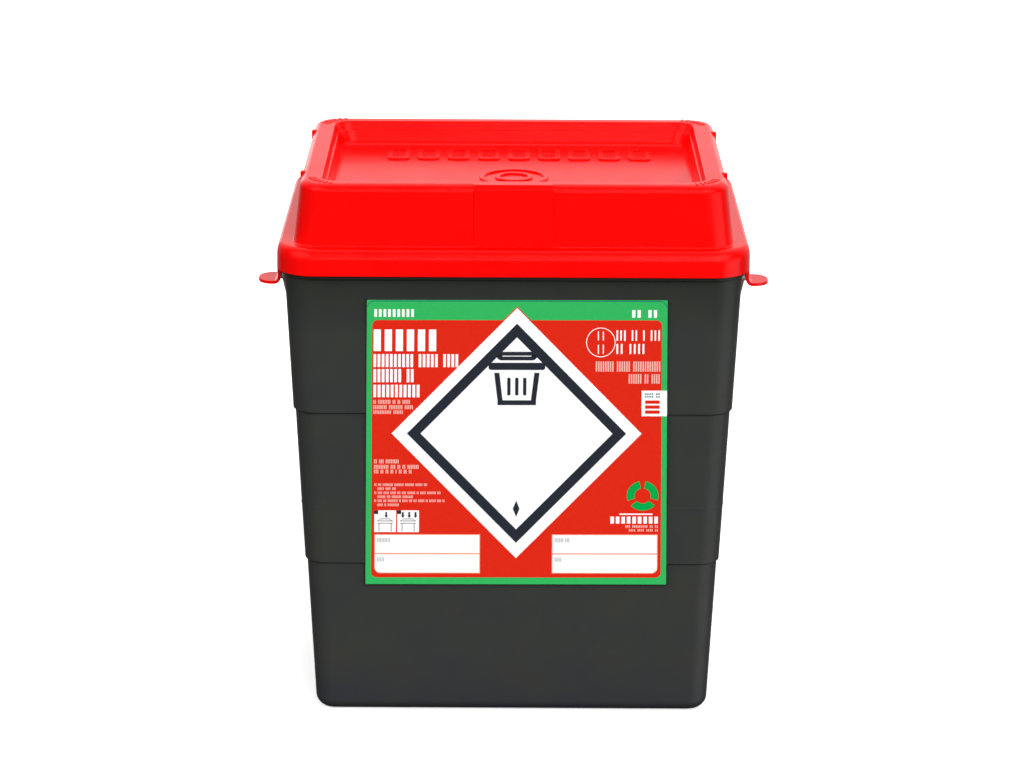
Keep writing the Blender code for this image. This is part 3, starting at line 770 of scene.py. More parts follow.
def rounded_box(left, right, low, high, corner=0.0, rounded=(True, True, True, True)):
    """A rectangle as (u, v) pairs, anticlockwise from its lower right corner, corners rounded."""
    if corner <= 0:
        return [(right, low), (right, high), (left, high), (left, low)]
    corners = (
        (right, low, right - corner, low + corner, -pi / 2),
        (right, high, right - corner, high - corner, 0.0),
        (left, high, left + corner, high - corner, pi / 2),
        (left, low, left + corner, low + corner, pi),
    )
    points = []
    for (u, v, centre_u, centre_v, start), is_round in zip(corners, rounded):
        if is_round:
            points += arc(centre_u, centre_v, corner, start, start + pi / 2)
        else:
            points.append((u, v))
    return points


def diamond(centre_v, half_u, half_v):
    """A square standing on its corner, on the label's middle line."""
    return [(half_u, centre_v), (0, centre_v + half_v), (-half_u, centre_v), (0, centre_v - half_v)]


def oval(centre_x, centre_y, half_x, half_y):
    angles = [2 * pi * step / OVAL_STEPS for step in range(OVAL_STEPS)]
    return [(centre_x + half_x * cos(angle), centre_y + half_y * sin(angle)) for angle in angles]


# every measure in the artwork is in millimetres from the label's middle
OVAL_STEPS = 40
LABEL_HALF = (85.0, 85.7)
ARTWORK_RISE = 0.55           # the print sits this far above the film's middle
ARTWORK_BOW = 0.9             # and bows up this much more between foot and head
FIELD = (-81.9, 81.9, -82.1, 73.2)
FIELD_CORNER = 3.2
DIAMOND_CENTRE = 5.1
DIAMOND = (70.7, 75.4)
DIAMOND_EDGED = (71.33, 76.3)   # with the thin red line round it
BAND_OUTER = (62.0, 66.1)
BAND_INNER = (54.3, 57.9)
FINE_LINE = 0.45
TRIM_SIDE = 0.3               # the trim line's distance from the side edges
TRIM_TOP = 0.9
TRIM_CORNER = 3.6


def make_film():
    """The plastic film that the label is printed on, green where no other ink covers it."""
    half_u, half_v = LABEL_HALF
    corners = rounded_box(-half_u, half_u, -half_v, half_v)
    rows = []
    for lift in (FILM_GAP, FILM_GAP + FILM_THICKNESS):
        rows.append([label_point(u * MM, v * MM, lift) for u, v in corners])
    film = object_from(loft(rows), "label_film", INKS["green"])
    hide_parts("front_label")
    return film


def red_field():
    art = Artwork("label_red_field", "red", 1)
    art.box(*FIELD, FIELD_CORNER)
    return art.finish()


def red_outline():
    """A thin red edge round the diamond where it crosses the green head of the label."""
    art = Artwork("label_red_outline", "red", 2)
    art.slab(diamond(DIAMOND_CENTRE, *DIAMOND_EDGED))
    return art.finish()


def trim_line():
    """A fine teal line just inside the top edge that turns down at both ends."""
    art = Artwork("label_trim_line", "teal", 1)
    half_u, half_v = LABEL_HALF
    level = half_v - TRIM_TOP
    bend_u = half_u - TRIM_SIDE - TRIM_CORNER
    outer = arc(bend_u, level - TRIM_CORNER, TRIM_CORNER, 0, pi / 2)
    inner = arc(bend_u, level - TRIM_CORNER, TRIM_CORNER - FINE_LINE, pi / 2, 0)
    art.slab(outer + inner)
    art.slab([(-u, v) for u, v in reversed(outer + inner)])
    art.box(-bend_u, bend_u, level - FINE_LINE, level)
    return art.finish()


# rows of blocks: left, right, low and high edges, and how many blocks are in each group
PLAIN_FILL = 0.6
HEADER_BLOCKS = (
    (-80.8, -58.4, 75.1, 79.7, (9,)),
    (65.0, 79.1, 74.8, 79.4, (2, 2)),
)
BOLD_FILL = 0.66
BOLD_BLOCKS = (
    (-81.1, -45.7, 54.6, 67.6, (6,)),
    (-81.1, -33.2, 45.0, 52.8, (10, 5, 4)),
    (-81.1, -58.4, 35.9, 43.8, (7, 2)),
    (-81.1, -55.0, 26.9, 34.4, (11,)),
    (53.3, 80.2, -49.2, -45.0, (9,)),
)
THIN_FILL = 0.42
THIN_BLOCKS = (
    (56.2, 80.8, 61.0, 67.3, (3, 2, 1, 3)),
    (56.2, 72.0, 53.1, 59.1, (2, 4)),
)
FINE_FILL = 0.62
FINE_BLOCKS = (
    (-81.1, -60.4, 22.9, 25.3, (2, 8, 2, 2, 5)),
    (-81.1, -58.7, 19.7, 22.1, (8, 8, 5)),
    (-81.1, -64.4, 16.8, 19.0, (11, 6)),
    (-80.5, -66.6, -13.0, -10.6, (2, 3, 8)),
    (-80.5, -55.3, -16.3, -13.9, (9, 3, 2, 2, 7)),
    (-80.5, -59.3, -19.1, -16.8, (3, 2, 2, 2, 1, 2, 2, 2)),
    (-80.2, -50.5, -26.7, -25.1, (2, 3, 9, 8, 8, 6, 3)),
    (-78.5, -68.1, -29.1, -27.5, (5, 4, 3)),
    (-80.2, -42.9, -31.6, -30.0, (2, 4, 5, 5, 3, 4, 7, 2, 5, 8, 3)),
    (-78.5, -58.4, -34.0, -32.4, (7, 3, 8, 9)),
    (-80.2, -40.6, -36.4, -34.8, (2, 4, 3, 9, 2, 5, 3, 3, 6, 2, 6, 4, 2)),
    (-78.5, -66.4, -38.9, -37.3, (5, 2, 10)),
    (44.6, 81.1, 42.5, 48.6, (8, 6, 12)),
    (63.2, 80.8, 35.3, 41.0, (6, 2, 4)),
    (61.8, 80.2, -51.8, -50.2, (3, 9, 2, 2)),
    (63.8, 80.2, -54.0, -52.6, (4, 4, 4, 2)),
)
GREY_BLOCKS = (
    (-78.5, -71.2, -60.7, -58.2, (9,)),
    (-78.5, -74.6, -72.4, -69.9, (5,)),
    (21.9, 30.1, -60.7, -58.2, (6, 3)),
    (21.9, 25.6, -72.4, -69.9, (5,)),
)

WRITE_IN = ((-80.2, -20.2), (20.2, 80.2))
WRITE_IN_LEVELS = (-79.7, -55.8)
WRITE_IN_CORNER = 3.6
WRITE_IN_BORDER = 0.5
DIVIDER_LEVELS = (-68.0, -67.3)
WHITE_RULE = (58.4, 77.1, -43.9, -43.1)
WHITE_RING = (47.4, 60.0, 8.3, 8.87)
RING_STROKE_SIDES = (1.1, 1.7)      # inner and outer sides of the upright strokes within the ring
RING_STROKE_LEVELS = ((53.2, 58.6), (61.2, 66.6))
EMERALD_RING = (71.5, -32.4, 9.0)   # centre and radius
EMERALD_HOLE = 4.5
EMERALD_START = radians(102)
EMERALD_SWEEP = radians(98)
EMERALD_STEPS = 12

BIN_SYMBOL = (0.0, 22.3, 32.0)      # middle, foot and height
FOOT_MARK = (-40.3, 1.9, 4.9)       # small solid diamond in the lower corner of the large one
PICTOGRAMS = ((-80.2, -67.9), (-67.2, -54.9))
PICTOGRAM_LEVELS = (-54.6, -41.4)
PICTOGRAM_ARROWS = ((0.0,), (-3.6, 0.0, 3.6))   # how far right of its middle each arrow falls
PICTOGRAM_SQUARE = 2.2              # the dark square in a picture's upper left corner
PICTOGRAM_LINE = 0.35
PICTOGRAM_BIN = (3.6, 0.4, 8.2)     # half width, foot and top of the bin
PICTOGRAM_BRIM = 0.8
PICTOGRAM_LID_GAP = 1.4
ARROW_SHIFT = 0.6
ARROW_DROP = 4.6                    # from the picture's top edge to the arrow's tip
ARROW_SIZE = 3.6
TILE = (70.6, 85.0, 15.7, 31.1)
TILE_SPAN = (72.6, 80.8)
TILE_LINES = ((28.5, 29.6), (26.9, 27.9))
TILE_BARS = ((17.2, 19.2), (20.2, 22.2), (23.2, 25.2))


def write_in_outline(left, right, inset):
    """A write-in panel, whose one lower corner that is nearest the label's corner is rounded."""
    low, high = WRITE_IN_LEVELS
    on_left = left < 0
    rounded = (not on_left, False, False, on_left)
    return rounded_box(left + inset, right - inset, low + inset, high - inset,
                       WRITE_IN_CORNER - inset, rounded)


def white_print():
    """The diamond, the bolder lines of print, the write-in panels, the pictures' ground and the tile."""
    art = Artwork("label_white_print", "white", 3)
    art.slab(diamond(DIAMOND_CENTRE, *DIAMOND))
    art.blocks(HEADER_BLOCKS, PLAIN_FILL)
    art.blocks(BOLD_BLOCKS, BOLD_FILL)
    art.blocks(THIN_BLOCKS, THIN_FILL)
    for left, right in WRITE_IN:
        art.slab(write_in_outline(left, right, WRITE_IN_BORDER))
    for left, right in PICTOGRAMS:
        art.box(left, right, *PICTOGRAM_LEVELS)
    art.box(*TILE)
    art.box(*WHITE_RULE)
    centre_u, centre_v, half_u, half_v = WHITE_RING
    art.frame(oval(*WHITE_RING), oval(centre_u, centre_v, half_u - FINE_LINE, half_v - FINE_LINE))
    near, far = RING_STROKE_SIDES
    for low, high in RING_STROKE_LEVELS:
        art.box(centre_u - far, centre_u - near, low, high)
        art.box(centre_u + near, centre_u + far, low, high)
    return art.finish()


def pink_print():
    """Fine print, which reads as pink."""
    art = Artwork("label_fine_print", "pink", 2)
    art.blocks(FINE_BLOCKS, FINE_FILL)
    return art.finish()


def salmon_print():
    """The soft border that shows round the write-in panels."""
    art = Artwork("label_panel_borders", "salmon", 2)
    for left, right in WRITE_IN:
        art.slab(write_in_outline(left, right, 0.0))
    return art.finish()


def panel_dividers():
    art = Artwork("label_panel_dividers", "salmon", 4)
    for left, right in WRITE_IN:
        art.box(left + WRITE_IN_BORDER, right - WRITE_IN_BORDER, *DIVIDER_LEVELS)
    return art.finish()


def grey_print():
    """The small headings in the write-in panels, as plain blocks."""
    art = Artwork("label_grey_print", "grey", 4)
    art.blocks(GREY_BLOCKS, PLAIN_FILL)
    return art.finish()


def diamond_band():
    """The dark line inside the diamond's edge."""
    art = Artwork("label_diamond_band", "dark", 4)
    art.frame(diamond(DIAMOND_CENTRE, *BAND_OUTER), diamond(DIAMOND_CENTRE, *BAND_INNER))
    return art.finish()


def bin_symbol(art, u, v, size):
    """A plain lidded bin, size millimetres high with its foot at v, drawn in broad strokes."""
    line = size * 0.09
    foot = size * 0.34
    mouth = size * 0.40
    brim = size * 0.50
    cap = size * 0.36
    slot = line * 0.32
    fine = line * 0.3
    brim_low = v + size * 0.66
    cap_low = brim_low + line * 2.0
    wall_top = brim_low - line * 0.6
    cap_line = line * 0.8
    art.box(u - foot, u + foot, v, v + line)
    for side in (-1, 1):
        wall = [(u + side * foot, v + line), (u + side * mouth, wall_top),
                (u + side * (mouth - line), wall_top), (u + side * (foot - line), v + line)]
        art.slab(wall[::side])
    for middle in (u - size * 0.14, u, u + size * 0.14):
        art.box(middle - slot, middle + slot, v + line * 2, wall_top - line, fine)
    art.box(u - brim, u + brim, brim_low, brim_low + line * 1.5, line * 0.5)
    art.frame(rounded_box(u - cap, u + cap, cap_low, v + size, line),
              rounded_box(u - cap + line, u + cap - line, cap_low + cap_line, v + size - cap_line, fine))


def arrow_down(art, u, tip, size):
    half = size * 0.28
    head_top = tip + size * 0.42
    art.slab([(u + half, head_top), (u - half, head_top), (u, tip)])
    art.box(u - half / 2, u + half / 2, head_top, tip + size)


def line_bin(art, left, right, low, high):
    """A bin with its lid, drawn in fine lines for a small instruction picture."""
    line = PICTOGRAM_LINE
    brim = PICTOGRAM_BRIM
    mouth = low + (high - low) * 0.62
    lid = mouth + PICTOGRAM_LID_GAP
    for u in (left, right - line):
        art.box(u, u + line, low, mouth)
    for level in (mouth, lid):
        art.box(left - brim, right + brim, level, level + line)
    art.box(left + brim, right - brim, high - line, high)
    for near, far in ((right + brim, right - brim), (left - brim, left + brim)):
        art.slab([(near, lid), (far, high - line), (far - line, high - line), (near - line, lid)])


def dark_print():
    """The bin symbol, the mark beneath it and the two small instruction pictures."""
    art = Artwork("label_dark_print", "dark", 5)
    bin_symbol(art, *BIN_SYMBOL)
    art.slab(diamond(*FOOT_MARK))
    low, high = PICTOGRAM_LEVELS
    half, foot, top = PICTOGRAM_BIN
    for (left, right), arrows in zip(PICTOGRAMS, PICTOGRAM_ARROWS):
        middle = (left + right) / 2
        art.box(left, left + PICTOGRAM_SQUARE, high - PICTOGRAM_SQUARE, high)
        line_bin(art, middle - half, middle + half, low + foot, low + top)
        for offset in arrows:
            arrow_down(art, middle + offset + ARROW_SHIFT, high - ARROW_DROP, ARROW_SIZE)
    return art.finish()


def tile_print():
    """Plain lines and bars on the small white tile."""
    teal = Artwork("label_tile_lines", "teal", 4)
    teal.blocks([(*TILE_SPAN, low, high, (4, 2)) for low, high in TILE_LINES], PLAIN_FILL)
    red = Artwork("label_tile_square", "red", 4)
    for low, high in TILE_BARS:
        red.box(*TILE_SPAN, low, high)
    return [teal.finish(), red.finish()]


def emerald_ring():
    """Three plain arc segments in a ring."""
    art = Artwork("label_green_ring", "emerald", 2)
    centre_u, centre_v, radius = EMERALD_RING
    for third in range(3):
        start = EMERALD_START + third * 2 * pi / 3
        end = start + EMERALD_SWEEP
        outer = arc(centre_u, centre_v, radius, start, end, EMERALD_STEPS)
        inner = arc(centre_u, centre_v, EMERALD_HOLE, end, start, EMERALD_STEPS)
        art.slab(outer + inner)
    return art.finish()


def make_label():
    pieces = [make_film(), red_field(), trim_line(), red_outline(), white_print(), pink_print(),
              salmon_print(), panel_dividers(), grey_print(), diamond_band(), dark_print(), emerald_ring()]
    return pieces + tile_print()


# ================================================================ lid
def lid_row(half_x, half_y, corner, z):
    """A rounded rectangle at height z."""
    return [(x, y, z) for x, y in outline(half_x, half_y, corner)]


def convex_edge(outer, corner, top, rounding):
    """Rows round a convex edge, from the flat top down to the side."""
    half_x, half_y = outer
    round_x, round_y, drop = rounding
    rows = []
    for angle in QUARTER_TURN:
        share = 1 - sin(angle)
        z = top - drop * (1 - cos(angle))
        rows.append(lid_row(half_x - round_x * share, half_y - round_y * share,
                            corner - (round_x + round_y) / 2 * share, z))
    return rows


def recess_rows():
    """The sunken panel: floor, fillet, wall with a narrow ledge, and rounded lip."""
    floor_x, floor_y = RECESS_FLOOR
    mouth_x, mouth_y = RECESS_MOUTH
    rows = []
    for angle in QUARTER_TURN:
        inset = RECESS_FILLET * (1 - sin(angle))
        z = RECESS_FLOOR_TOP + RECESS_FILLET * (1 - cos(angle))
        rows.append(lid_row(floor_x - inset, floor_y - inset, RECESS_CORNER - inset, z))
    lip_low = RIDGE_TOP - RECESS_LIP
    lean = (mouth_x - floor_x) / (lip_low - RECESS_FLOOR_TOP - RECESS_FILLET)
    under_x = floor_x + lean * (RECESS_LEDGE - RECESS_FLOOR_TOP - RECESS_FILLET) - RECESS_LEDGE_WIDTH / 2
    under_y = under_x - floor_x + floor_y
    edge = RECESS_LEDGE_WIDTH / 4
    rows += [
        lid_row(under_x, under_y, RECESS_CORNER, RECESS_LEDGE - edge),
        lid_row(under_x + edge, under_y + edge, RECESS_CORNER, RECESS_LEDGE),
        lid_row(under_x + 3 * edge, under_y + 3 * edge, RECESS_CORNER, RECESS_LEDGE),
        lid_row(under_x + 4 * edge, under_y + 4 * edge, RECESS_CORNER, RECESS_LEDGE + edge),
    ]
    for angle in QUARTER_TURN:
        grow = RECESS_LIP * (1 - cos(angle))
        z = lip_low + RECESS_LIP * sin(angle)
        rows.append(lid_row(mouth_x + grow, mouth_y + grow, RECESS_CORNER + grow, z))
    return rows


def dome_rows():
    """Outside of the dome, from the ridge's rounded edge down to the ledge."""
    base_x, base_y = DOME_BASE
    rows = convex_edge(DOME_SHOULDER, DOME_CORNER, RIDGE_TOP, (DOME_ROUNDING,) * 3)
    for angle in QUARTER_TURN:
        grow = DOME_FOOT_FILLET * (1 - cos(angle))
        z = LEDGE_TOP + DOME_FOOT_FILLET * (1 - sin(angle))
        rows.append(lid_row(base_x + grow, base_y + grow, DOME_CORNER + grow / 2, z))
    return rows


def skirt_rows():
    """The ledge's rounded edge, the skirt, and the seal lip that hangs inside the tub's mouth."""
    skirt = (SKIRT_HALF_WIDTH, SKIRT_HALF_WIDTH - WIDTH_OVER_DEPTH)
    rows = convex_edge(skirt, SKIRT_CORNER, LEDGE_TOP, SKIRT_ROUNDING)
    for angle in QUARTER_TURN:
        inset = SKIRT_EDGE * (1 - cos(angle))
        z = SKIRT_BOTTOM + SKIRT_EDGE * (1 - sin(angle))
        rows.append(lid_row(skirt[0] - inset, skirt[1] - inset, SKIRT_CORNER - inset, z))

    inner_x = COLLAR_HALF_WIDTH + FIT_GAP
    inner_y = inner_x - WIDTH_OVER_DEPTH
    inner_corner = SKIRT_CORNER - (SKIRT_HALF_WIDTH - inner_x)
    under_ledge = LEDGE_TOP - LEDGE_THICKNESS
    lip_x = SEAL_LIP_OUTER
    lip_y = lip_x - WIDTH_OVER_DEPTH
    share = SEAL_LIP_BOTTOM / TUB_HEIGHT
    lip_inset = tub_half_width(SEAL_LIP_BOTTOM) - SEAL_LIP_OUTER
    lip_corner = TUB_CORNER_LOW + (TUB_CORNER_HIGH - TUB_CORNER_LOW) * share - lip_inset
    inside_x = lip_x - SEAL_LIP_WALL
    inside_y = lip_y - SEAL_LIP_WALL
    rows += [
        lid_row(inner_x, inner_y, inner_corner, SKIRT_BOTTOM),
        lid_row(inner_x, inner_y, inner_corner, under_ledge - RIM_CHAMFER),
        lid_row(inner_x - RIM_CHAMFER, inner_y - RIM_CHAMFER, inner_corner - RIM_CHAMFER, under_ledge),
        lid_row(lip_x, lip_y, lip_corner, under_ledge),
        lid_row(lip_x, lip_y, lip_corner, SEAL_LIP_BOTTOM),
        lid_row(inside_x, inside_y, lip_corner - SEAL_LIP_WALL, SEAL_LIP_BOTTOM),
        lid_row(inside_x, inside_y, lip_corner - SEAL_LIP_WALL, under_ledge - SEAL_LIP_WALL),
    ]
    return rows


def underside_of_dome_rows():
    """Up the inside of the dome, across under the ridge, and down round the sunken panel."""
    base_x, base_y = DOME_BASE
    shoulder_x, shoulder_y = DOME_SHOULDER
    mouth_x, mouth_y = RECESS_MOUTH
    floor_x, floor_y = RECESS_FLOOR
    under_ridge = RIDGE_TOP - LID_WALL
    under_rounding = under_ridge - DOME_ROUNDING / 2
    inner_corner = DOME_CORNER - LID_WALL
    ridge_inset = LID_WALL + DOME_ROUNDING / 2
    outset = LID_WALL + RECESS_LIP
    recess_corner = RECESS_CORNER + LID_WALL
    bend = RECESS_FILLET / 2
    bend_top = RECESS_FLOOR_TOP + RECESS_FILLET - LID_WALL
    return [
        lid_row(base_x - LID_WALL, base_y - LID_WALL, inner_corner, LEDGE_TOP),
        lid_row(shoulder_x - LID_WALL, shoulder_y - LID_WALL, inner_corner, under_rounding),
        lid_row(shoulder_x - ridge_inset, shoulder_y - ridge_inset, inner_corner, under_ridge),
        lid_row(mouth_x + outset, mouth_y + outset, recess_corner, under_ridge),
        lid_row(floor_x + LID_WALL, floor_y + LID_WALL, recess_corner, bend_top),
        lid_row(floor_x - bend, floor_y - bend, RECESS_CORNER, RECESS_FLOOR_TOP - LID_WALL),
    ]


def stacking_nib(sx, sy):
    """A small gusset on the rounded outer edge of the lid's raised rim."""
    shoulder = DOME_SHOULDER[0]
    inner = shoulder - DOME_ROUNDING
    points = [
        (inner, RIDGE_TOP - 2 * NIB_HEIGHT),
        (shoulder, RIDGE_TOP - 2 * NIB_HEIGHT),
        (shoulder + NIB_PROUD, RIDGE_TOP - NIB_HEIGHT),
        (shoulder + NIB_PROUD, RIDGE_TOP - NIB_PROUD),
        (shoulder, RIDGE_TOP - FIT_GAP),
        (inner, RIDGE_TOP - FIT_GAP),
    ]
    placement = Matrix.Translation((0, NIB_OFFSET - NIB_LENGTH / 2, 0)) @ ALONG_Y
    return mirror_to(prism(points, NIB_LENGTH, placement), sx, sy)


def front_pad():
    """A shallow pad down the middle of the lid's front face, square at its top edge."""
    shoulder = DOME_SHOULDER[1]
    base = DOME_BASE[1]
    points = [
        (-base - FRONT_PAD_PROUD, LEDGE_TOP + DOME_FOOT_FILLET),
        (-shoulder - FRONT_PAD_PROUD, RIDGE_TOP - DOME_ROUNDING / 2),
        (-shoulder + FRONT_PAD_TOP_INSET, RIDGE_TOP + HAIRLINE),
        (-shoulder + DOME_ROUNDING, RIDGE_TOP + HAIRLINE),
        (-base + LID_WALL / 2, LEDGE_TOP + DOME_FOOT_FILLET),
    ]
    placement = Matrix.Translation((-FRONT_PAD_HALF_WIDTH, 0, 0)) @ ALONG_X
    return soften(prism(points, 2 * FRONT_PAD_HALF_WIDTH, placement), FRONT_PAD_EDGE)


def raised_frame(outer, inner):
    """A raised band between two outlines on the lid's sunken panel, softened along its top."""
    low = RECESS_FLOOR_TOP - EMBOSS_HEIGHT
    high = RECESS_FLOOR_TOP + EMBOSS_HEIGHT
    shoulder = high - EMBOSS_BEVEL
    centre = sum((Vector(point) for point in outer), Vector((0, 0))) / len(outer)

    def drawn_in(points, distance):
        moved = []
        for point in points:
            offset = Vector(point) - centre
            moved.append(centre + offset * (1 - distance / offset.length))
        return moved

    profile = [(outer, low), (outer, shoulder), (drawn_in(outer, EMBOSS_BEVEL), high),
               (drawn_in(inner, -EMBOSS_BEVEL), high), (inner, shoulder), (inner, low)]
    return band([[(x, y, z) for x, y in points] for points, z in profile])


def raised_cells():
    """A row of plain raised cells, each an empty outline, on the lid's sunken panel."""
    bm = bmesh.new()
    left, right = CELL_ROW
    front, back = CELL_DEPTHS
    pitch = (right - left) / CELL_COUNT
    line = EMBOSS_STROKE
    corner = line * 1.2
    for index in range(CELL_COUNT):
        start = left + pitch * (index + (1 - CELL_FILL) / 2)
        end = start + pitch * CELL_FILL
        outer = rounded_box(start, end, front, back, corner)
        inner = rounded_box(start + line, end - line, front + line, back - line, corner / 3)
        merge_in(bm, raised_frame(outer, inner))
    return bm


def raised_rings():
    """Two plain raised rings, one inside the other, in front of the row of cells."""
    bm = bmesh.new()
    for radius in RING_RADII:
        inner = radius - EMBOSS_STROKE
        merge_in(bm, raised_frame(oval(*RING_CENTRE, radius, radius), oval(*RING_CENTRE, inner, inner)))
    return bm


def ridge_ribs(sx, sy):
    """Short radial ribs round one corner of the raised rim."""
    bm = bmesh.new()
    centre = (RECESS_MOUTH[0] - RECESS_CORNER, RECESS_MOUTH[1] - RECESS_CORNER)
    half = RIDGE_RIB_LENGTH / 2
    middle_radius = RECESS_CORNER + RECESS_LIP + RIDGE_RIB_MARGIN + half
    for index in range(RIDGE_RIB_COUNT):
        share = index / (RIDGE_RIB_COUNT - 1) * 2 - 1
        angle = pi / 4 + share * RIDGE_RIB_HALF_SPREAD
        place = Matrix.Translation((*centre, RIDGE_TOP - RIDGE_RIB_HEIGHT)) @ Matrix.Rotation(angle, 4, "Z")
        points = rounded_box(middle_radius - half, middle_radius + half,
                             -RIDGE_RIB_WIDTH / 2, RIDGE_RIB_WIDTH / 2, RIDGE_RIB_WIDTH / 3)
        merge_in(bm, prism(points, RIDGE_RIB_HEIGHT + RIDGE_RIB_PROUD, place))
    return mirror_to(bm, sx, sy)


def make_lid_shell():
    """The whole lid in one skin, with its nibs, ribs, pad, cells and rings joined in."""
    rows = recess_rows() + dome_rows() + skirt_rows() + underside_of_dome_rows()
    lid = object_from(loft(rows), "lid_shell", RED)
    extras = bmesh.new()
    for sx, sy in CORNERS.values():
        merge_in(extras, stacking_nib(sx, sy))
        merge_in(extras, ridge_ribs(sx, sy))
    for shape in (front_pad(), raised_cells(), raised_rings()):
        merge_in(extras, shape)
    unite(lid, [object_from(extras, "lid_details", RED)])
    even_shading(lid)
    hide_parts("lid")
    return lid


def make_locating_tab(name, sx):
    """A tab that hangs from the skirt and turns out into a rounded finger tongue."""
    inner = COLLAR_HALF_WIDTH + FIT_GAP
    outer = SKIRT_HALF_WIDTH
    top = SKIRT_BOTTOM - HAIRLINE
    middle_x = (inner + outer) / 2
    level = TAB_BOTTOM + TAB_THICKNESS / 2
    tip = outer + TAB_REACH - TAB_THICKNESS / 2
    bend = arc(middle_x + TAB_BEND, level + TAB_BEND, TAB_BEND, pi, 1.5 * pi)
    spine = [(middle_x, top)] + bend
    root = middle_x + TAB_BEND
    reach = tip - root
    for step in range(1, TONGUE_STEPS + 1):
        spine.append((root + reach * sin(step / TONGUE_STEPS * TONGUE_SWEEP), level))

    def half_length(x):
        past = max(x - root, 0.0) / reach
        return TAB_HALF_LENGTH * sqrt(max(1 - past ** TONGUE_ROUNDNESS, 0.0))

    rows = []
    for index, (x, z) in enumerate(spine):
        before = spine[max(index - 1, 0)]
        after = spine[min(index + 1, len(spine) - 1)]
        length = hypot(after[0] - before[0], after[1] - before[1])
        normal = ((before[1] - after[1]) / length, (after[0] - before[0]) / length)
        half = half_length(x)
        row = []
        for side, offset in ((-1, -1), (1, -1), (1, 1), (-1, 1)):
            shift = offset * TAB_THICKNESS / 2
            row.append((x + normal[0] * shift, -TAB_CENTRE + side * half, z + normal[1] * shift))
        rows.append(row)
    tab = object_from(mirror_to(loft(rows), sx, 1), "locating_tab_moulding_" + name, RED)
    rounded_edges(tab, TAB_EDGE)
    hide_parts("locating_tab_" + name)
    return tab


# ================================================================ carry handle
# the handle is drawn lying along +Y from its pivot, and STOWED turns it down behind the tub
def bail_strap():
    """The flat U of the handle: two legs that end inside the eyes, and a crossbar with rounded corners."""
    outer = HANDLE_INNER + HANDLE_THICKNESS
    far = HANDLE_REACH + GRIP_DEPTH
    near = far - HANDLE_THICKNESS - TAB_EDGE
    inner_corner = HANDLE_CORNER - HANDLE_THICKNESS
    outside = [(outer, HANDLE_LEG_START)]
    outside += arc(outer - HANDLE_CORNER, far - HANDLE_CORNER, HANDLE_CORNER, 0, pi / 2)
    outside += arc(-outer + HANDLE_CORNER, far - HANDLE_CORNER, HANDLE_CORNER, pi / 2, pi)
    outside.append((-outer, HANDLE_LEG_START))
    inside = [(-HANDLE_INNER, HANDLE_LEG_START)]
    inside += arc(-HANDLE_INNER + inner_corner, near - inner_corner, inner_corner, pi, pi / 2)
    inside += arc(HANDLE_INNER - inner_corner, near - inner_corner, inner_corner, pi / 2, 0)
    inside.append((HANDLE_INNER, HANDLE_LEG_START))
    return prism(outside + inside, 2 * HANDLE_LEG_HALF_WIDTH,
                 Matrix.Translation((0, 0, -HANDLE_LEG_HALF_WIDTH)))


def bail_eye(sx):
    """The round eye at the end of a leg, with the hole that turns on the tub's pin."""
    hole = PIN_RADIUS + PIN_CLEARANCE
    start = HANDLE_INNER
    end = HANDLE_INNER + HANDLE_THICKNESS
    profile = [(hole, start), (HANDLE_EYE_RADIUS, start), (HANDLE_EYE_RADIUS, end), (hole, end)]
    eye = band(turned_rows(profile))
    bmesh.ops.transform(eye, matrix=ALONG_X, verts=eye.verts)
    return mirror_to(eye, sx, 1)


def handle_grip():
    """The thicker hand grip, with shallow waves for the fingers on its underside."""
    steps = 8 * GRIP_WAVES
    middle_y = HANDLE_REACH + GRIP_DEPTH / 2
    rows = []
    for step in range(steps + 1):
        share = step / steps * 2 - 1
        end = min((1 - abs(share)) * steps / GRIP_END_STEPS, 1.0)
        ease = GRIP_END_SHARE + (1 - GRIP_END_SHARE) * sqrt(1 - (1 - end) ** 2)
        wave = GRIP_WAVE_DEPTH * (1 - cos(share * pi * GRIP_WAVES)) / 2
        half_z = GRIP_HALF_WIDTH * ease - wave
        half_y = GRIP_DEPTH / 2 * ease
        row = []
        for y, z in outline(half_y, half_z, min(half_y, half_z) * GRIP_EDGE_SHARE):
            row.append((share * GRIP_HALF_LENGTH, middle_y + y, z))
        rows.append(row)
    return loft(rows)


def make_handle():
    """The bail with its two eyes, and the grip on its crossbar."""
    bail = object_from(bail_strap(), "carry_handle_bail", NATURAL)
    eyes = [object_from(bail_eye(sx), "eye_" + name, NATURAL) for name, sx in SIDES.items()]
    unite(bail, eyes)
    rounded_edges(bail, HANDLE_EDGE)
    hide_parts("carry_handle")
    grip = object_from(handle_grip(), "carry_handle_grip", NATURAL)
    for piece in (bail, grip):
        piece.data.transform(STOWED)
    return [bail, grip]


# ================================================================ studio
def make_floor():
    """A large pale floor that the container stands on."""
    bm = bmesh.new()
    bmesh.ops.create_circle(bm, cap_ends=True, segments=FLOOR_SIDES, radius=FLOOR_RADIUS)
    bmesh.ops.translate(bm, vec=(0, 0, -HAIRLINE), verts=bm.verts)
    floor = object_from(bm, "studio_floor", lit_acrylic())
    floor.visible_diffuse = False
    floor.visible_glossy = False


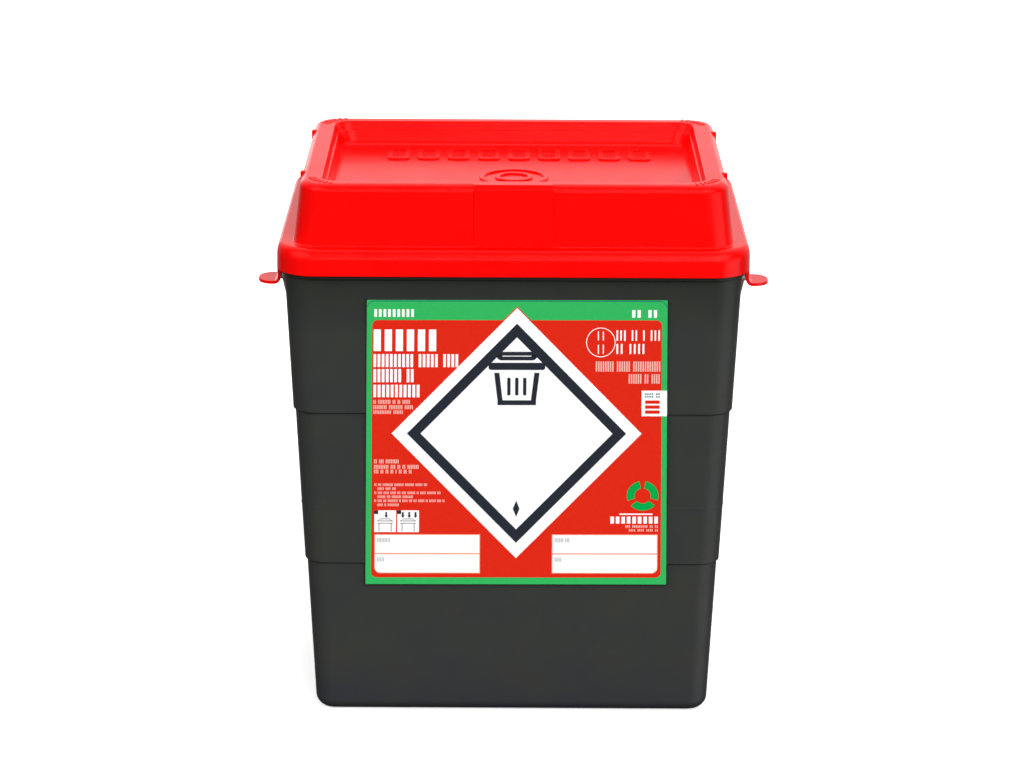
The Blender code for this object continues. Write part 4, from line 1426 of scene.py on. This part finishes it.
def make_world():
    """White surroundings, bright behind and to the right and dim in front, as in a lit studio."""
    world = bpy.data.worlds.new("studio_surroundings")
    bpy.context.scene.world = world
    world.use_nodes = True
    tree = world.node_tree
    towards = add_node(tree, "ShaderNodeTexCoord").outputs["Generated"]
    facing = add_node(tree, "ShaderNodeVectorMath", {"operation": "DOT_PRODUCT"})
    tree.links.new(towards, facing.inputs[0])
    facing.inputs[1].default_value = BRIGHT_SIDE
    dim_until, bright_from = SKY_SPREAD
    dim, bright = SKY_STRENGTHS
    glow = add_node(tree, "ShaderNodeMapRange",
                    {"interpolation_type": "SMOOTHSTEP", "From Min": dim_until, "From Max": bright_from,
                     "To Min": dim, "To Max": bright}, {"Value": facing.outputs["Value"]})
    background = tree.nodes["Background"]
    tree.links.new(glow.outputs["Result"], background.inputs["Strength"])
    background.inputs["Color"].default_value = (1.0, 1.0, 1.0, 1.0)


def make_sun(name, strength, towards):
    """A very broad, soft light that is seen in no gloss."""
    light = bpy.data.lights.new(name, "SUN")
    light.energy = strength
    light.angle = SUN_SOFTNESS
    obj = bpy.data.objects.new(name, light)
    bpy.context.collection.objects.link(obj)
    obj.rotation_euler = Vector(towards).to_track_quat("Z", "Y").to_euler()
    obj.visible_glossy = False


def make_softbox(name, place, width, height, glow):
    """A flat softbox that shows only as a reflection in the container's gloss."""
    light = bpy.data.lights.new(name, "AREA")
    light.shape = "RECTANGLE"
    light.size = width
    light.size_y = height
    light.energy = pi * width * height * glow
    obj = bpy.data.objects.new(name, light)
    bpy.context.collection.objects.link(obj)
    towards = Vector((0, 0, TUB_HEIGHT)) - Vector(place)
    obj.rotation_euler = towards.to_track_quat("-Z", "Y").to_euler()
    obj.location = place
    obj.visible_diffuse = False
    obj.visible_camera = False


def make_camera():
    """A long lens in front of the container, looking a little down on it."""
    camera = bpy.data.cameras.new("studio_camera")
    camera.sensor_width = SENSOR_WIDTH
    camera.lens = CAMERA_LENS
    obj = bpy.data.objects.new("studio_camera", camera)
    bpy.context.collection.objects.link(obj)
    turn = Matrix.Rotation(pi / 2 - CAMERA_PITCH, 4, "X") @ Matrix.Rotation(CAMERA_ROLL, 4, "Z")
    obj.matrix_world = Matrix.Translation(CAMERA_PLACE) @ turn
    bpy.context.scene.camera = obj


def set_colour_view():
    """Show colours as they are lit, with no film curve."""
    bpy.context.scene.view_settings.view_transform = "Standard"
    bpy.context.scene.view_settings.look = "None"


# ================================================================ assembly
def fix_to(body, pieces):
    """Give pieces the body that they move with."""
    for piece in pieces:
        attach(piece, body)


def dress_latches():
    """The latches keep their shape and take the lid's own plastic."""
    for name in CORNERS:
        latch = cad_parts["corner_latch_" + name]
        latch.data.materials.clear()
        latch.data.materials.append(RED)


def build():
    """Make every piece, then the floor, the light and the camera."""
    tub_pieces = [make_tub_shell()]
    tub_pieces += [catch_rib(name, sx, sy) for name, (sx, sy) in CORNERS.items()]
    tub_pieces += [pivot_boss(name, sx) for name, sx in SIDES.items()]
    fix_to("tub", tub_pieces)
    fix_to("tub", make_label())
    fix_to("lid", [make_lid_shell()])
    for name, sx in SIDES.items():
        fix_to("locating_tab_" + name, [make_locating_tab(name, sx)])
    fix_to("carry_handle", make_handle())
    dress_latches()
    make_floor()
    make_world()
    for name, sun in SUNS.items():
        make_sun(name, *sun)
    for name, box in SOFTBOXES.items():
        make_softbox(name, *box)
    make_camera()
    set_colour_view()


build()
